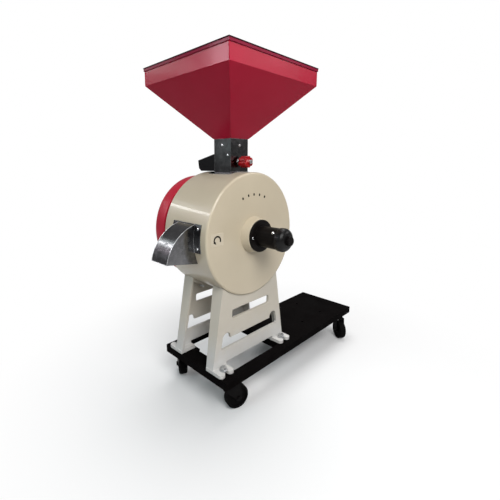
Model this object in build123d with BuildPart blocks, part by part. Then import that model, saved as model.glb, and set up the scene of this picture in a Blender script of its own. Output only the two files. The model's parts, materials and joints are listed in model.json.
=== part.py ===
from build123d import *
import os
from math import asin, cos, degrees, radians, sin, sqrt

# Stone mill for flour: a drum with an upright pair of stones on cast stands, a hopper above, a spout at the
# left and a wheeled base with room for a motor. Sizes are in millimetres, +Z is up and the mill faces -Y.
# Places are measured from the middle of the drum's front face: x to the right, depth to the back, height up
# from the shaft's line.

os.makedirs("parts", exist_ok=True)

# Fits
RUNNING_FIT = 0.05
SEAT = 0.2
FREE_GAP = 0.4
ROUND_HEAD = 0.7
SAME_PLACE = 0.0001

# Stones and what carries them
STONE_RADIUS = 152.5
STONE_EYE_RADIUS = 46.0
RUNNER_THICKNESS = 42.0
FIXED_THICKNESS = 40.0
STONE_GAP = 4.0
GAP_TRAVEL = 3.5
RUNNER_PLATE_MARGIN = 3.5
RUNNER_PLATE_THICKNESS = 12.0
RUNNER_HUB_RADIUS = 34.0
RUNNER_HUB_FRONT = 14.0
RUNNER_HUB_BACK = 6.0
RUNNER_CLEARANCE = 28.0
SWEEPER_COUNT = 4
SWEEPER_LENGTH = 30.0
SWEEPER_THICKNESS = 8.0
SWEEPER_GAP = 21.0
BED_PLATE_THICKNESS = 10.0
BED_POST_RADIUS = 8.0
BED_POST_ANGLES = (20.0, 160.0, 270.0)
CHUTE_SHEET = 1.5
CHUTE_DEPTH = 22.0
CHUTE_FALL = 35.0
CHUTE_FOOT = 50.0
CHUTE_CLEARANCE = 2.0

# Drum and rear cover
STONE_ROOM = 44.5
DRUM_LENGTH = 215.0
DRUM_WALL = 8.0
DRUM_FRONT_WALL = 12.0
DRUM_RIM_ROUND = 7.0
BOSS_BASE_RADIUS = 62.0
BOSS_TIP_RADIUS = 54.0
BOSS_TIP_ROUND = 2.0
BOSS_LENGTH = 28.0
INLET_SIZE = 72.0
OUTLET_WIDTH = 70.0
OUTLET_HEIGHT = 72.0
OUTLET_RISE = 6.0
REAR_FLANGE_WIDTH = 20.0
REAR_FLANGE_DEPTH = 16.0
REAR_COVER_THICKNESS = 14.0
REAR_COVER_ROUND = 4.0
REAR_BOLT_COUNT = 6
REAR_BOLT_RADIUS = 5.0
REAR_BOLT_HEAD = 17.0
REAR_BOLT_HEAD_HEIGHT = 6.5
REAR_BOLT_GRIP = 12.0

# Rear bearings in the cover's tube
BEARING_RADIUS = 40.0
BEARING_WIDTH = 18.0
BEARING_TUBE_WALL = 13.0
BEARING_TUBE_INSIDE = 29.0
BEARING_TUBE_OUTSIDE = 18.0
BEARING_LIP = 2.0
BEARING_LIP_WIDTH = 6.0
BEARING_CAP_THICKNESS = 6.0
CAP_SCREW_COUNT = 4
CAP_SCREW_RADIUS = 3.0
CAP_SCREW_HEAD_RADIUS = 5.0
CAP_SCREW_HEAD_HEIGHT = 4.0
CAP_SCREW_GRIP = 12.0
SPRING_COUNT = 4
SPRING_SHEET = 1.2
SPRING_MARGIN = 3.0
SPRING_GAP = 0.15

# Shaft
SHAFT_RADIUS = 20.0
SHAFT_COLLAR_RADIUS = 28.0
SHAFT_COLLAR_LENGTH = 5.0
JOURNAL_RADIUS = 10.0
RUNNER_THREAD_RADIUS = 14.0
RUNNER_SEAT_RADIUS = 17.0
RUNNER_NUT_SIZE = 46.0
RUNNER_NUT_LENGTH = 13.0
RUNNER_THREAD_SPARE = 2.0
PULLEY_SEAT_RADIUS = 17.0
SHAFT_THREAD_RADIUS = 12.0
SHAFT_THREAD_SPARE = 2.0

# Adjuster on the drum's front
ADJUSTER_FLANGE_RADIUS = 53.0
ADJUSTER_FLANGE_THICKNESS = 8.0
ADJUSTER_FLANGE_ROUND = 2.0
SPIGOT_RADIUS = 36.0
SPIGOT_LENGTH = 36.0
SLEEVE_RADIUS = 34.0
SLEEVE_LENGTH = 82.0
ADJUSTER_SCREW_CIRCLE = 43.0
ADJUSTER_SCREW_COUNT = 2
ADJUSTER_SCREW_RADIUS = 3.0
ADJUSTER_SCREW_HEAD_RADIUS = 5.0
ADJUSTER_SCREW_HEAD_HEIGHT = 3.0
ADJUSTER_SCREW_GRIP = 18.0
NIPPLE_SIZE = 8.0
NIPPLE_BASE_HEIGHT = 3.0
NIPPLE_NECK_RADIUS = 2.5
NIPPLE_HEIGHT = 7.0
NIPPLE_GRIP = 5.0
NIPPLE_CHAMFER = 0.8
NIPPLE_FROM_KNOB = 10.0
NIPPLE_TURN = 140.0
KNOB_RADIUS = 37.0
KNOB_LENGTH = 28.0
KNOB_OVERLAP = 5.0
KNOB_ROUND = 19.0
KNOB_HUB_RADIUS = 19.0
KNOB_GRIP_COUNT = 24
KNOB_GRIP_RADIUS = 1.2
KNOB_GRIP_LENGTH = 7.0
QUILL_RADIUS = 26.0
QUILL_LENGTH = 108.0
QUILL_SETBACK = 14.0
SPINDLE_RADIUS = 10.0
SPINDLE_NUT_RADIUS = 14.5
SPINDLE_NUT_LENGTH = 11.0
SPINDLE_NUT_GRIP = 5.0
SPINDLE_NUT_ROUND = 2.5
FRONT_BEARING_RADIUS = 21.0
FRONT_BEARING_WIDTH = 19.0
THRUST_BALL_RADIUS = 3.0
THRUST_POCKET_MARGIN = 2.0

# Pulley
PULLEY_RADIUS = 190.0
PULLEY_WIDTH = 50.0
PULLEY_CROWN = 1.5
PULLEY_RIM = 11.0
PULLEY_WEB = 12.0
PULLEY_HUB_RADIUS = 38.0
PULLEY_CLEARANCE = 7.0
PULLEY_HOLE_COUNT = 6
PULLEY_HOLE_RADIUS = 36.0
KEY_WIDTH = 10.0
KEY_HEIGHT = 8.0
KEY_SINK = 4.0
KEY_LENGTH = 40.0
PULLEY_NUT_SIZE = 36.0
PULLEY_NUT_LENGTH = 14.0
PULLEY_WASHER_RADIUS = 24.0
PULLEY_WASHER_THICKNESS = 4.0

# Hopper and neck
HOPPER_HALF = 200.0
HOPPER_SHEET = 2.0
HOPPER_BAND = 53.0
HOPPER_CONE = 171.5
HOPPER_LIP = 3.0
HOPPER_LIP_HEIGHT = 8.0
HOPPER_SPIGOT = 38.0
EDGING_HEIGHT = 3.0
EDGING_OVERHANG = 1.0
EDGING_WIDTH = 9.0
EDGING_ROUND = 1.0
NECK_HALF = 40.5
NECK_SHEET = 1.5
NECK_HEIGHT = 108.5
NECK_SKIRT = 14.0
HOPPER_SCREW_DROP = 21.0
SHEET_SCREW_RADIUS = 2.0
SHEET_SCREW_HEAD_RADIUS = 4.2
SHEET_SCREW_HEAD_HEIGHT = 2.4
NECK_RIVET_RISE = 55.0
NECK_RIVET_INSET = 15.0
NECK_RIVET_RADIUS = 1.6
NECK_RIVET_HEAD_RADIUS = 3.2
NECK_RIVET_HEAD_HEIGHT = 1.6

# Feed gate, its screw and knob, and the pocket behind the neck
GATE_RISE = 33.0
GATE_MARGIN = 3.0
GATE_LENGTH = 79.0
GATE_THICKNESS = 2.5
GATE_DROP = 11.5
GATE_BLOCK_HALF = 11.0
GATE_BLOCK_LENGTH = 14.0
GATE_BLOCK_TOP = 10.0
GATE_SCREW_RADIUS = 4.0
GATE_SCREW_SPARE = 8.0
GATE_SCREW_TIP = 1.0
GATE_RAIL_WIDTH = 5.5
GATE_RAIL_HEIGHT = 6.0
GATE_RAIL_END = 9.0
GATE_OPENING_SPARE = 3.0
GATE_KNOB_RADIUS = 19.0
GATE_KNOB_LENGTH = 34.0
GATE_KNOB_LOBES = 6
GATE_KNOB_FLUTE = 6.0
GATE_KNOB_FLUTE_DEPTH = 3.0
GATE_KNOB_BOSS_RADIUS = 10.0
GATE_KNOB_BOSS_LENGTH = 4.0
GATE_KNOB_ROUND = 2.5
GATE_NUT_SIZE = 13.0
GATE_NUT_LENGTH = 8.0
GATE_BUSH_SIZE = 19.0
GATE_BUSH_FLANGE = 3.0
GATE_BUSH_SLEEVE_RADIUS = 6.0
GATE_STEM_GAP = 4.0
POCKET_LENGTH = 88.0
POCKET_FRONT_HEIGHT = 58.0
POCKET_BACK_HEIGHT = 37.0
POCKET_BACK_LEAN = 4.0
POCKET_CORNER_HEIGHT = 10.0
POCKET_CORNER_LENGTH = 12.0
POCKET_SHEET = 2.0

# Spout
SPOUT_SHEET = 1.5
SPOUT_WIDTH = 80.0
SPOUT_DEPTH = 97.0
SPOUT_ARC_RADIUS = 134.0
SPOUT_ARC_INSET = 33.0
SPOUT_ARC_DROP = 80.0
SPOUT_LIP_DROP = 55.0
SPOUT_MOUTH_SLOPE = 0.16
SPOUT_FLANGE_WIDTH = 140.0
SPOUT_FLANGE_TOP = 53.0
SPOUT_FLANGE_BOTTOM = 35.0
SPOUT_SCREW_INSET = 14.0
SPOUT_SCREW_GRIP = 6.0

# Stands
STAND_DROP = 224.0
STAND_SETBACK = 8.0
STAND_PANEL = 9.0
STAND_HALF_TOP = 133.0
STAND_HALF_FOOT = 180.0
STAND_FLANGE = 9.0
STAND_FLANGE_TOP_DEPTH = 48.0
STAND_FLANGE_FOOT_DEPTH = 33.0
STAND_SADDLE = 9.0
UPPER_SLOT_DROP = 33.0
UPPER_SLOT_HEIGHT = 30.0
UPPER_SLOT_LENGTH = 184.0
UPPER_SLOT_ROUND = 7.0
LOWER_SLOT_RISE = 67.0
LOWER_SLOT_HEIGHT = 31.0
LOWER_SLOT_HALF = 143.0
LOWER_SLOT_TAPER = 7.0
LOWER_SLOT_ROUND = 5.0
EAR_RADIUS = 18.0
EAR_RISE = 3.0
BAR_RISE = 19.0
FOOT_WIDTH = 61.0
FOOT_THICKNESS = 11.0
FOOT_REACH = 40.0
FOOT_SLOT_WIDTH = 14.0
FOOT_PRONG_ROUND = 11.0
FOOT_BOLT_REACH = 18.0
FOOT_BOLT_RADIUS = 6.0
FOOT_BOLT_HEAD = 19.0
FOOT_BOLT_HEAD_HEIGHT = 8.0
FOOT_BOLT_GRIP = 18.0
FOOT_BOSS_RADIUS = 15.0
FOOT_WASHER_RADIUS = 13.0
FOOT_WASHER_THICKNESS = 2.5
SADDLE_BOLT_ANGLE = 22.0
SADDLE_BOLT_DEPTH = 30.0
SADDLE_BOLT_RADIUS = 5.0
SADDLE_BOLT_HEAD = 17.0
SADDLE_BOLT_HEAD_HEIGHT = 6.5

# Base
BASE_LEFT = 181.0
BASE_RIGHT = 618.0
BASE_FRONT = 57.0
BASE_BACK = 268.0
MOTOR_BAY_LEFT = 190.0
MOTOR_BAY_BACK = 204.0
BASE_HEIGHT = 26.0
BASE_PLATE = 6.0
BASE_SKIRT = 4.0
BASE_CORNER_ROUND = 4.0
WINDOW_LEFT = 123.0
WINDOW_RIGHT = 118.0
WINDOW_FRONT = 23.0
WINDOW_BACK = 235.0
MOTOR_X = 400.0
MOTOR_DEPTH = 78.0
MOTOR_SPACING_X = 140.0
MOTOR_SPACING_Y = 125.0
MOTOR_HOLE_RADIUS = 5.5

# Castors
CASTOR_HEIGHT = 108.0
CASTOR_PAD = 88.0
CASTOR_PAD_THICKNESS = 8.0
CASTOR_PLATE = 78.0
CASTOR_PLATE_THICKNESS = 4.0
CASTOR_PLATE_ROUND = 8.0
CASTOR_BOLT_SPACING = 58.0
CASTOR_BOLT_RADIUS = 4.0
CASTOR_BOLT_HEAD = 13.0
CASTOR_BOLT_HEAD_HEIGHT = 5.0
CASTOR_BOLT_GRIP = 7.0
CASTOR_RACE_RADIUS = 24.0
CASTOR_RACE_HEIGHT = 11.0
CASTOR_PIN_RADIUS = 5.0
CASTOR_PIN_HEAD_RADIUS = 9.0
CASTOR_PIN_HEAD_HEIGHT = 3.0
FORK_CROWN = 4.0
FORK_ARM = 3.0
FORK_CROWN_LEAD = 22.0
FORK_CROWN_TAIL = 6.0
FORK_EYE_RADIUS = 11.0
FORK_SIDE_GAP = 1.0
FORK_PLAY = 0.3
CASTOR_TRAIL = 34.0
CASTOR_TRAIL_ANGLES = {"front_left": -15.0, "front_right": -125.0, "rear_left": 60.0, "rear_right": -120.0}
WHEEL_RADIUS = 40.0
WHEEL_WIDTH = 30.0
WHEEL_TREAD = 8.0
WHEEL_TREAD_ROUND = 6.0
WHEEL_DISH = 5.0
WHEEL_HUB_RADIUS = 11.0
AXLE_RADIUS = 5.0
AXLE_HEAD = 13.0
AXLE_HEAD_HEIGHT = 4.0

# Drum, cover and bearings
drum_bore = STONE_RADIUS + STONE_ROOM
drum_radius = drum_bore + DRUM_WALL
mid_depth = DRUM_LENGTH / 2
cover_front = DRUM_LENGTH - REAR_COVER_THICKNESS
flange_bore = drum_bore - REAR_FLANGE_WIDTH
rear_bolt_circle = drum_bore - REAR_FLANGE_WIDTH / 2
boss_bore = SPIGOT_RADIUS + SEAT
tube_bore = BEARING_RADIUS + SEAT
tube_radius = BEARING_RADIUS + BEARING_TUBE_WALL
lip_radius = BEARING_RADIUS - BEARING_LIP_WIDTH

# Stones along the shaft
runner_plate_radius = STONE_RADIUS + RUNNER_PLATE_MARGIN
sweeper_radius = drum_bore - SWEEPER_GAP
runner_plate_front = DRUM_FRONT_WALL + RUNNER_CLEARANCE
runner_plate_back = runner_plate_front + RUNNER_PLATE_THICKNESS
runner_face = runner_plate_back + RUNNER_THICKNESS
fixed_face = runner_face + STONE_GAP
bed_front = fixed_face + FIXED_THICKNESS
bed_back = bed_front + BED_PLATE_THICKNESS
bed_post_circle = flange_bore - BED_POST_RADIUS - FREE_GAP
hub_front = runner_plate_front - RUNNER_HUB_FRONT
hub_back = runner_plate_back + RUNNER_HUB_BACK
journal_back = hub_front - RUNNER_NUT_LENGTH - RUNNER_THREAD_SPARE
chute_back = bed_back + CHUTE_DEPTH

# Bearing tube through the rear cover, clear of the chute
tube_length = BEARING_TUBE_INSIDE + REAR_COVER_THICKNESS + BEARING_TUBE_OUTSIDE
tube_front = max(cover_front - BEARING_TUBE_INSIDE, chute_back + CHUTE_CLEARANCE)
tube_back = tube_front + tube_length
cap_back = tube_back + BEARING_CAP_THICKNESS
cap_screw_circle = BEARING_RADIUS + BEARING_TUBE_WALL / 2
bearing_fronts = (tube_front + BEARING_LIP + SEAT, tube_back - BEARING_WIDTH - SEAT)
collar_front = bearing_fronts[0] + BEARING_WIDTH + FREE_GAP
collar_back = collar_front + SHAFT_COLLAR_LENGTH
spring_inner = SHAFT_RADIUS + FREE_GAP
spring_outer = BEARING_RADIUS - SPRING_MARGIN
spring_pitch = (bearing_fronts[1] - collar_back - SPRING_GAP) / SPRING_COUNT

# Adjuster along the shaft
flange_front = -BOSS_LENGTH - ADJUSTER_FLANGE_THICKNESS
spigot_back = SPIGOT_LENGTH - BOSS_LENGTH
sleeve_front = flange_front - SLEEVE_LENGTH
knob_back = sleeve_front + KNOB_OVERLAP
knob_front = knob_back - KNOB_LENGTH
knob_web_back = sleeve_front - GAP_TRAVEL - FREE_GAP
quill_bore = QUILL_RADIUS + RUNNING_FIT
quill_front = sleeve_front + QUILL_SETBACK
quill_back = quill_front + QUILL_LENGTH
knob_hub_back = quill_front - SEAT
spindle_front = knob_front - SEAT - SPINDLE_NUT_GRIP
nut_front = knob_front - SEAT - SPINDLE_NUT_LENGTH
front_bearing_front = quill_back - FRONT_BEARING_WIDTH - 2 * SEAT
journal_front = front_bearing_front - THRUST_POCKET_MARGIN
thrust_ball_depth = journal_front - SEAT - THRUST_BALL_RADIUS
thrust_pocket_front = thrust_ball_depth - THRUST_BALL_RADIUS - SEAT
thrust_pocket_radius = JOURNAL_RADIUS + THRUST_POCKET_MARGIN
nipple_depth = knob_back + NIPPLE_FROM_KNOB

# Pulley along the shaft
pulley_front = cap_back + PULLEY_CLEARANCE
pulley_back = pulley_front + PULLEY_WIDTH
pulley_middle = (pulley_front + pulley_back) / 2
pulley_rim_bore = PULLEY_RADIUS - PULLEY_CROWN - PULLEY_RIM
pulley_web_front = pulley_middle - PULLEY_WEB / 2
pulley_web_back = pulley_middle + PULLEY_WEB / 2
pulley_hole_circle = (PULLEY_HUB_RADIUS + pulley_rim_bore) / 2
key_back = pulley_middle + KEY_LENGTH / 2
key_bottom = PULLEY_SEAT_RADIUS - KEY_SINK
washer_back = pulley_back + SEAT + PULLEY_WASHER_THICKNESS
pulley_nut_back = washer_back + PULLEY_NUT_LENGTH
shaft_back = pulley_nut_back + SHAFT_THREAD_SPARE

# Neck, chute and gate
skirt_radius = drum_radius + SEAT + NECK_SHEET
neck_top = drum_radius + NECK_HEIGHT
neck_front = mid_depth - NECK_HALF
neck_back = mid_depth + NECK_HALF
neck_bore = NECK_HALF - NECK_SHEET
spigot_half = neck_bore - SEAT
spigot_bore = spigot_half - HOPPER_SHEET
cone_top = neck_top + HOPPER_CONE
hopper_top = cone_top + HOPPER_BAND
rim_half = HOPPER_HALF + HOPPER_LIP + EDGING_OVERHANG
hopper_screw_height = neck_top - HOPPER_SCREW_DROP
hopper_screw_length = NECK_SHEET + SEAT + HOPPER_SHEET
chute_half = INLET_SIZE / 2 + CHUTE_SHEET + FREE_GAP
chute_top = sqrt(drum_bore**2 - chute_half**2) - FREE_GAP
chute_floor_end = chute_top - CHUTE_FALL
chute_front = mid_depth - chute_half
gate_height = drum_radius + GATE_RISE
gate_half = neck_bore - GATE_MARGIN
gate_plate_top = gate_height - GATE_DROP
gate_plate_bottom = gate_plate_top - GATE_THICKNESS
gate_front = neck_back + FREE_GAP
pocket_front = neck_back + SEAT
pocket_back = pocket_front + POCKET_LENGTH
pocket_bottom = skirt_radius + SEAT
rail_outer = NECK_HALF - POCKET_SHEET - SEAT
rail_top = gate_plate_bottom - SEAT
rail_back = pocket_back - GATE_RAIL_END
rail_front = neck_front + NECK_SHEET + FREE_GAP
gate_opening_height = gate_height + GATE_BLOCK_TOP + GATE_OPENING_SPARE - rail_top + GATE_RAIL_HEIGHT
bush_front = neck_front - GATE_BUSH_FLANGE
gate_knob_back = bush_front - GATE_STEM_GAP
gate_grip_back = gate_knob_back - GATE_KNOB_BOSS_LENGTH
gate_grip_front = gate_grip_back - GATE_KNOB_LENGTH
gate_nut_front = gate_grip_front - SEAT - GATE_NUT_LENGTH
gate_screw_back = gate_front + GATE_BLOCK_LENGTH + GATE_SCREW_SPARE
gate_screw_front = gate_nut_front - GATE_SCREW_TIP
gate_flute_circle = GATE_KNOB_RADIUS + GATE_KNOB_FLUTE - GATE_KNOB_FLUTE_DEPTH

# Spout
spout_arc_x = drum_radius - SPOUT_ARC_INSET
spout_lip_x = spout_arc_x + sqrt(SPOUT_ARC_RADIUS**2 - (SPOUT_ARC_DROP - SPOUT_LIP_DROP) ** 2)
spout_mouth_root = -SPOUT_LIP_DROP - SPOUT_MOUTH_SLOPE * (spout_lip_x - spout_arc_x)
spout_back = SPOUT_DEPTH + SPOUT_WIDTH / 2
spout_beyond = spout_lip_x + SPOUT_ARC_RADIUS
spout_bounds = [
    (-spout_arc_x, spout_mouth_root),
    (-spout_arc_x, SPOUT_ARC_RADIUS),
    (-spout_beyond, SPOUT_ARC_RADIUS),
    (-spout_beyond, spout_mouth_root + SPOUT_MOUTH_SLOPE * (spout_beyond - spout_arc_x)),
]
spout_screw_length = SPOUT_SHEET + SEAT + SPOUT_SCREW_GRIP
spout_screw_heights = (SPOUT_FLANGE_TOP - SPOUT_SCREW_INSET, SPOUT_SCREW_INSET - SPOUT_FLANGE_BOTTOM)
spout_screw_turns = [degrees(asin(height / drum_radius)) for height in spout_screw_heights]
spout_screw_depths = [
    SPOUT_DEPTH + side * (SPOUT_FLANGE_WIDTH / 2 - SPOUT_SCREW_INSET) for side in (-1, 1)
]

# Stands and base
saddle_radius = drum_radius + SEAT
stand_front = STAND_SETBACK
stand_back = DRUM_LENGTH - STAND_SETBACK
leg_top = -sqrt(saddle_radius**2 - STAND_HALF_TOP**2)
base_top = -drum_radius - STAND_DROP
base_bottom = base_top - BASE_HEIGHT
floor = base_bottom - CASTOR_HEIGHT
foot_x = STAND_HALF_FOOT - FOOT_WIDTH / 2
foot_bolt_depths = (stand_front - FOOT_BOLT_REACH, stand_back + FOOT_BOLT_REACH)
foot_bolt_spots = [(x, depth) for x in (-foot_x, foot_x) for depth in foot_bolt_depths]
washer_top = base_top + FOOT_THICKNESS + FOOT_WASHER_THICKNESS
upper_slot_middle = -drum_radius - UPPER_SLOT_DROP - UPPER_SLOT_HEIGHT / 2
lower_slot_bottom = base_top + LOWER_SLOT_RISE
lower_slot_top = lower_slot_bottom + LOWER_SLOT_HEIGHT
ear_x = LOWER_SLOT_HALF - LOWER_SLOT_TAPER - EAR_RADIUS
base_outline = [
    (-BASE_LEFT, -BASE_FRONT),
    (BASE_RIGHT, -BASE_FRONT),
    (BASE_RIGHT, MOTOR_BAY_BACK),
    (MOTOR_BAY_LEFT, MOTOR_BAY_BACK),
    (MOTOR_BAY_LEFT, BASE_BACK),
    (-BASE_LEFT, BASE_BACK),
]
window_middle = ((WINDOW_RIGHT - WINDOW_LEFT) / 2, (WINDOW_BACK - WINDOW_FRONT) / 2)
window_size = (WINDOW_RIGHT + WINDOW_LEFT, WINDOW_BACK + WINDOW_FRONT)
saddle_bolt_length = STAND_SADDLE + SEAT + DRUM_WALL
saddle_bolt_depths = (stand_front + SADDLE_BOLT_DEPTH, stand_back - SADDLE_BOLT_DEPTH)
castor_inset = CASTOR_PAD / 2
castor_spots = {
    "front_left": (-BASE_LEFT + castor_inset, -BASE_FRONT + castor_inset),
    "front_right": (BASE_RIGHT - castor_inset, -BASE_FRONT + castor_inset),
    "rear_left": (-BASE_LEFT + castor_inset, BASE_BACK - castor_inset),
    "rear_right": (BASE_RIGHT - castor_inset, MOTOR_BAY_BACK - castor_inset),
}

# Castor heights, the crown's top from the axle
plate_bottom = base_bottom - CASTOR_PLATE_THICKNESS
race_bottom = plate_bottom - CASTOR_RACE_HEIGHT
axle_height = floor + WHEEL_RADIUS
crown_top = race_bottom - FORK_PLAY - axle_height
crown_bottom = race_bottom - FORK_PLAY - FORK_CROWN
fork_gap = WHEEL_WIDTH + 2 * FORK_SIDE_GAP
axle_half = fork_gap / 2 + FORK_ARM + SEAT

# The origin is on the floor, under the middle of the whole mill
reach_left = max(spout_lip_x, rim_half, BASE_LEFT)
reach_right = max(BASE_RIGHT, rim_half)
reach_front = max(-nut_front, BASE_FRONT, rim_half - mid_depth)
reach_back = max(shaft_back, mid_depth + rim_half, BASE_BACK)
shaft_place = ((reach_left - reach_right) / 2, (reach_front - reach_back) / 2, -floor)

SHAFT_LINE = Axis(shaft_place, (0, 1, 0))
MIRROR = Plane(origin=(0, shaft_place[1] + mid_depth, 0), z_dir=(0, 1, 0))
FROM_BELOW = (Align.CENTER, Align.MIN)


def at_depth(depth):
    """Upright plane across the shaft, seen from the front: x to the right, y up, normal to the front."""
    origin = (shaft_place[0], shaft_place[1] + depth, shaft_place[2])
    return Plane(origin=origin, x_dir=(1, 0, 0), z_dir=(0, -1, 0))


def at_height(height, x=0, depth=0):
    """Level plane seen from above: x to the right, y to the back, normal up."""
    return Plane(origin=(shaft_place[0] + x, shaft_place[1] + depth, shaft_place[2] + height))


def across(x):
    """Upright plane along the shaft: x to the back, y up, normal to the right."""
    origin = (shaft_place[0] + x, shaft_place[1], shaft_place[2])
    return Plane(origin=origin, x_dir=(0, 1, 0), z_dir=(1, 0, 0))


def facing(x, depth, height, normal):
    """Plane at one place that faces along a normal."""
    return Plane(origin=(shaft_place[0] + x, shaft_place[1] + depth, shaft_place[2] + height), z_dir=normal)


def on_circle(radius, turn, depth, normal):
    """Plane at one place of a circle round the shaft, turn degrees from the right, facing along a normal."""
    return facing(radius * cos(radians(turn)), depth, radius * sin(radians(turn)), normal)


def radial(turn, depth, radius):
    """Plane that touches a circle round the shaft and faces outwards."""
    return on_circle(radius, turn, depth, (cos(radians(turn)), 0, sin(radians(turn))))


def even_turns(count):
    """Angles of a count of places spread evenly round the shaft."""
    return [index * 360 / count for index in range(count)]


def ring_edges(piece, depth, radius):
    """Edges of a turned piece that are whole circles of one radius at one depth."""
    middle = Vector(shaft_place) + Vector(0, depth, 0)
    edges = piece.edges().filter_by(GeomType.CIRCLE)
    return [edge for edge in edges if (edge.arc_center - middle).length + abs(edge.radius - radius) < SAME_PLACE]


def keep(piece, name):
    """Label one finished piece and write it to its own file."""
    piece.part.label = name
    export_step(piece.part, f"parts/{name}.step")


def turned(*profile):
    """Turn a closed profile of (depth, radius) corners about the shaft's line."""
    with BuildPart() as piece:
        with BuildSketch(across(0)):
            with BuildLine():
                Polyline(*profile, close=True)
            make_face()
        revolve(axis=SHAFT_LINE)
    return piece


def bolts(places, head_size, head_height, shank_radius, shank_length):
    """Hex bolts as separate solids: each place is a plane under its head that faces the head's side."""
    with BuildPart() as group:
        for place in places:
            with BuildSketch(place):
                RegularPolygon(radius=head_size / 2, side_count=6, major_radius=False)
            extrude(amount=head_height)
            with BuildSketch(place):
                Circle(shank_radius)
            extrude(amount=-shank_length)
    return group


def round_screws(places, head_radius, head_height, shank_radius, shank_length):
    """Screws or rivets with a rounded head, as separate solids placed like bolts."""
    with BuildPart() as group:
        for place in places:
            with BuildSketch(place):
                Circle(head_radius)
            extrude(amount=head_height)
            rim = group.edges(Select.LAST).sort_by(Axis(place.origin, place.z_dir))[-1]
            fillet(rim, ROUND_HEAD * head_height)
            with BuildSketch(place):
                Circle(shank_radius)
            extrude(amount=-shank_length)
    return group


saddle_places = [
    radial(270 + side * SADDLE_BOLT_ANGLE, depth, saddle_radius + STAND_SADDLE)
    for depth in saddle_bolt_depths
    for side in (-1, 1)
]
nipple_place = radial(NIPPLE_TURN, nipple_depth, SLEEVE_RADIUS)
hopper_screw_places = [
    facing(0, neck_front, hopper_screw_height, (0, -1, 0)),
    facing(0, neck_back, hopper_screw_height, (0, 1, 0)),
    facing(-NECK_HALF, mid_depth, hopper_screw_height, (-1, 0, 0)),
    facing(NECK_HALF, mid_depth, hopper_screw_height, (1, 0, 0)),
]
neck_rivet_places = [
    facing(side * NECK_HALF, neck_front + NECK_RIVET_INSET, drum_radius + NECK_RIVET_RISE, (side, 0, 0))
    for side in (-1, 1)
]
spout_screw_places = [
    radial(180 - turn, depth, drum_radius + SEAT + SPOUT_SHEET)
    for turn in spout_screw_turns
    for depth in spout_screw_depths
]

# Drum: one casting with its front wall, boss, inlet at the top and outlet at the left
with BuildPart() as drum:
    with BuildSketch(across(0)):
        with BuildLine():
            Polyline(
                (-BOSS_LENGTH, boss_bore),
                (-BOSS_LENGTH, BOSS_TIP_RADIUS),
                (0, BOSS_BASE_RADIUS),
                (0, drum_radius),
                (cover_front, drum_radius),
                (cover_front, flange_bore),
                (cover_front - REAR_FLANGE_DEPTH, flange_bore),
                (cover_front - REAR_FLANGE_DEPTH, drum_bore),
                (DRUM_FRONT_WALL, drum_bore),
                (DRUM_FRONT_WALL, boss_bore),
                close=True,
            )
        make_face()
    revolve(axis=SHAFT_LINE)
    fillet(ring_edges(drum, 0, drum_radius), DRUM_RIM_ROUND)
    fillet(ring_edges(drum, -BOSS_LENGTH, BOSS_TIP_RADIUS), BOSS_TIP_ROUND)
    with BuildSketch(at_height(0, depth=mid_depth)):
        Rectangle(INLET_SIZE, INLET_SIZE)
    extrude(amount=drum_radius, mode=Mode.SUBTRACT)
    with BuildSketch(across(-drum_radius)):
        with Locations((SPOUT_DEPTH, OUTLET_RISE)):
            Rectangle(OUTLET_WIDTH, OUTLET_HEIGHT)
    extrude(amount=drum_radius / 2, mode=Mode.SUBTRACT)
    with BuildSketch(at_depth(cover_front)):
        with PolarLocations(rear_bolt_circle, REAR_BOLT_COUNT):
            Circle(REAR_BOLT_RADIUS + SEAT)
    extrude(amount=REAR_BOLT_GRIP + SEAT, mode=Mode.SUBTRACT)
    with BuildSketch(at_depth(chute_back + CHUTE_CLEARANCE)):
        with Locations((0, chute_top + SEAT - 2 * REAR_FLANGE_WIDTH)):
            Rectangle(2 * (chute_half + SEAT), 2 * REAR_FLANGE_WIDTH, align=FROM_BELOW)
    extrude(amount=CHUTE_CLEARANCE + CHUTE_DEPTH, mode=Mode.SUBTRACT)
    with BuildSketch(at_depth(-BOSS_LENGTH)):
        with PolarLocations(ADJUSTER_SCREW_CIRCLE, ADJUSTER_SCREW_COUNT):
            Circle(ADJUSTER_SCREW_RADIUS + SEAT)
    extrude(amount=-ADJUSTER_SCREW_GRIP - SEAT, mode=Mode.SUBTRACT)
    for place in saddle_places:
        with BuildSketch(place):
            Circle(SADDLE_BOLT_RADIUS + SEAT)
        extrude(amount=-saddle_bolt_length - DRUM_WALL, mode=Mode.SUBTRACT)
    for place in spout_screw_places:
        with BuildSketch(place):
            Circle(SHEET_SCREW_RADIUS + SEAT)
        extrude(amount=-spout_screw_length - SEAT, mode=Mode.SUBTRACT)
keep(drum, "drum")

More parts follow.
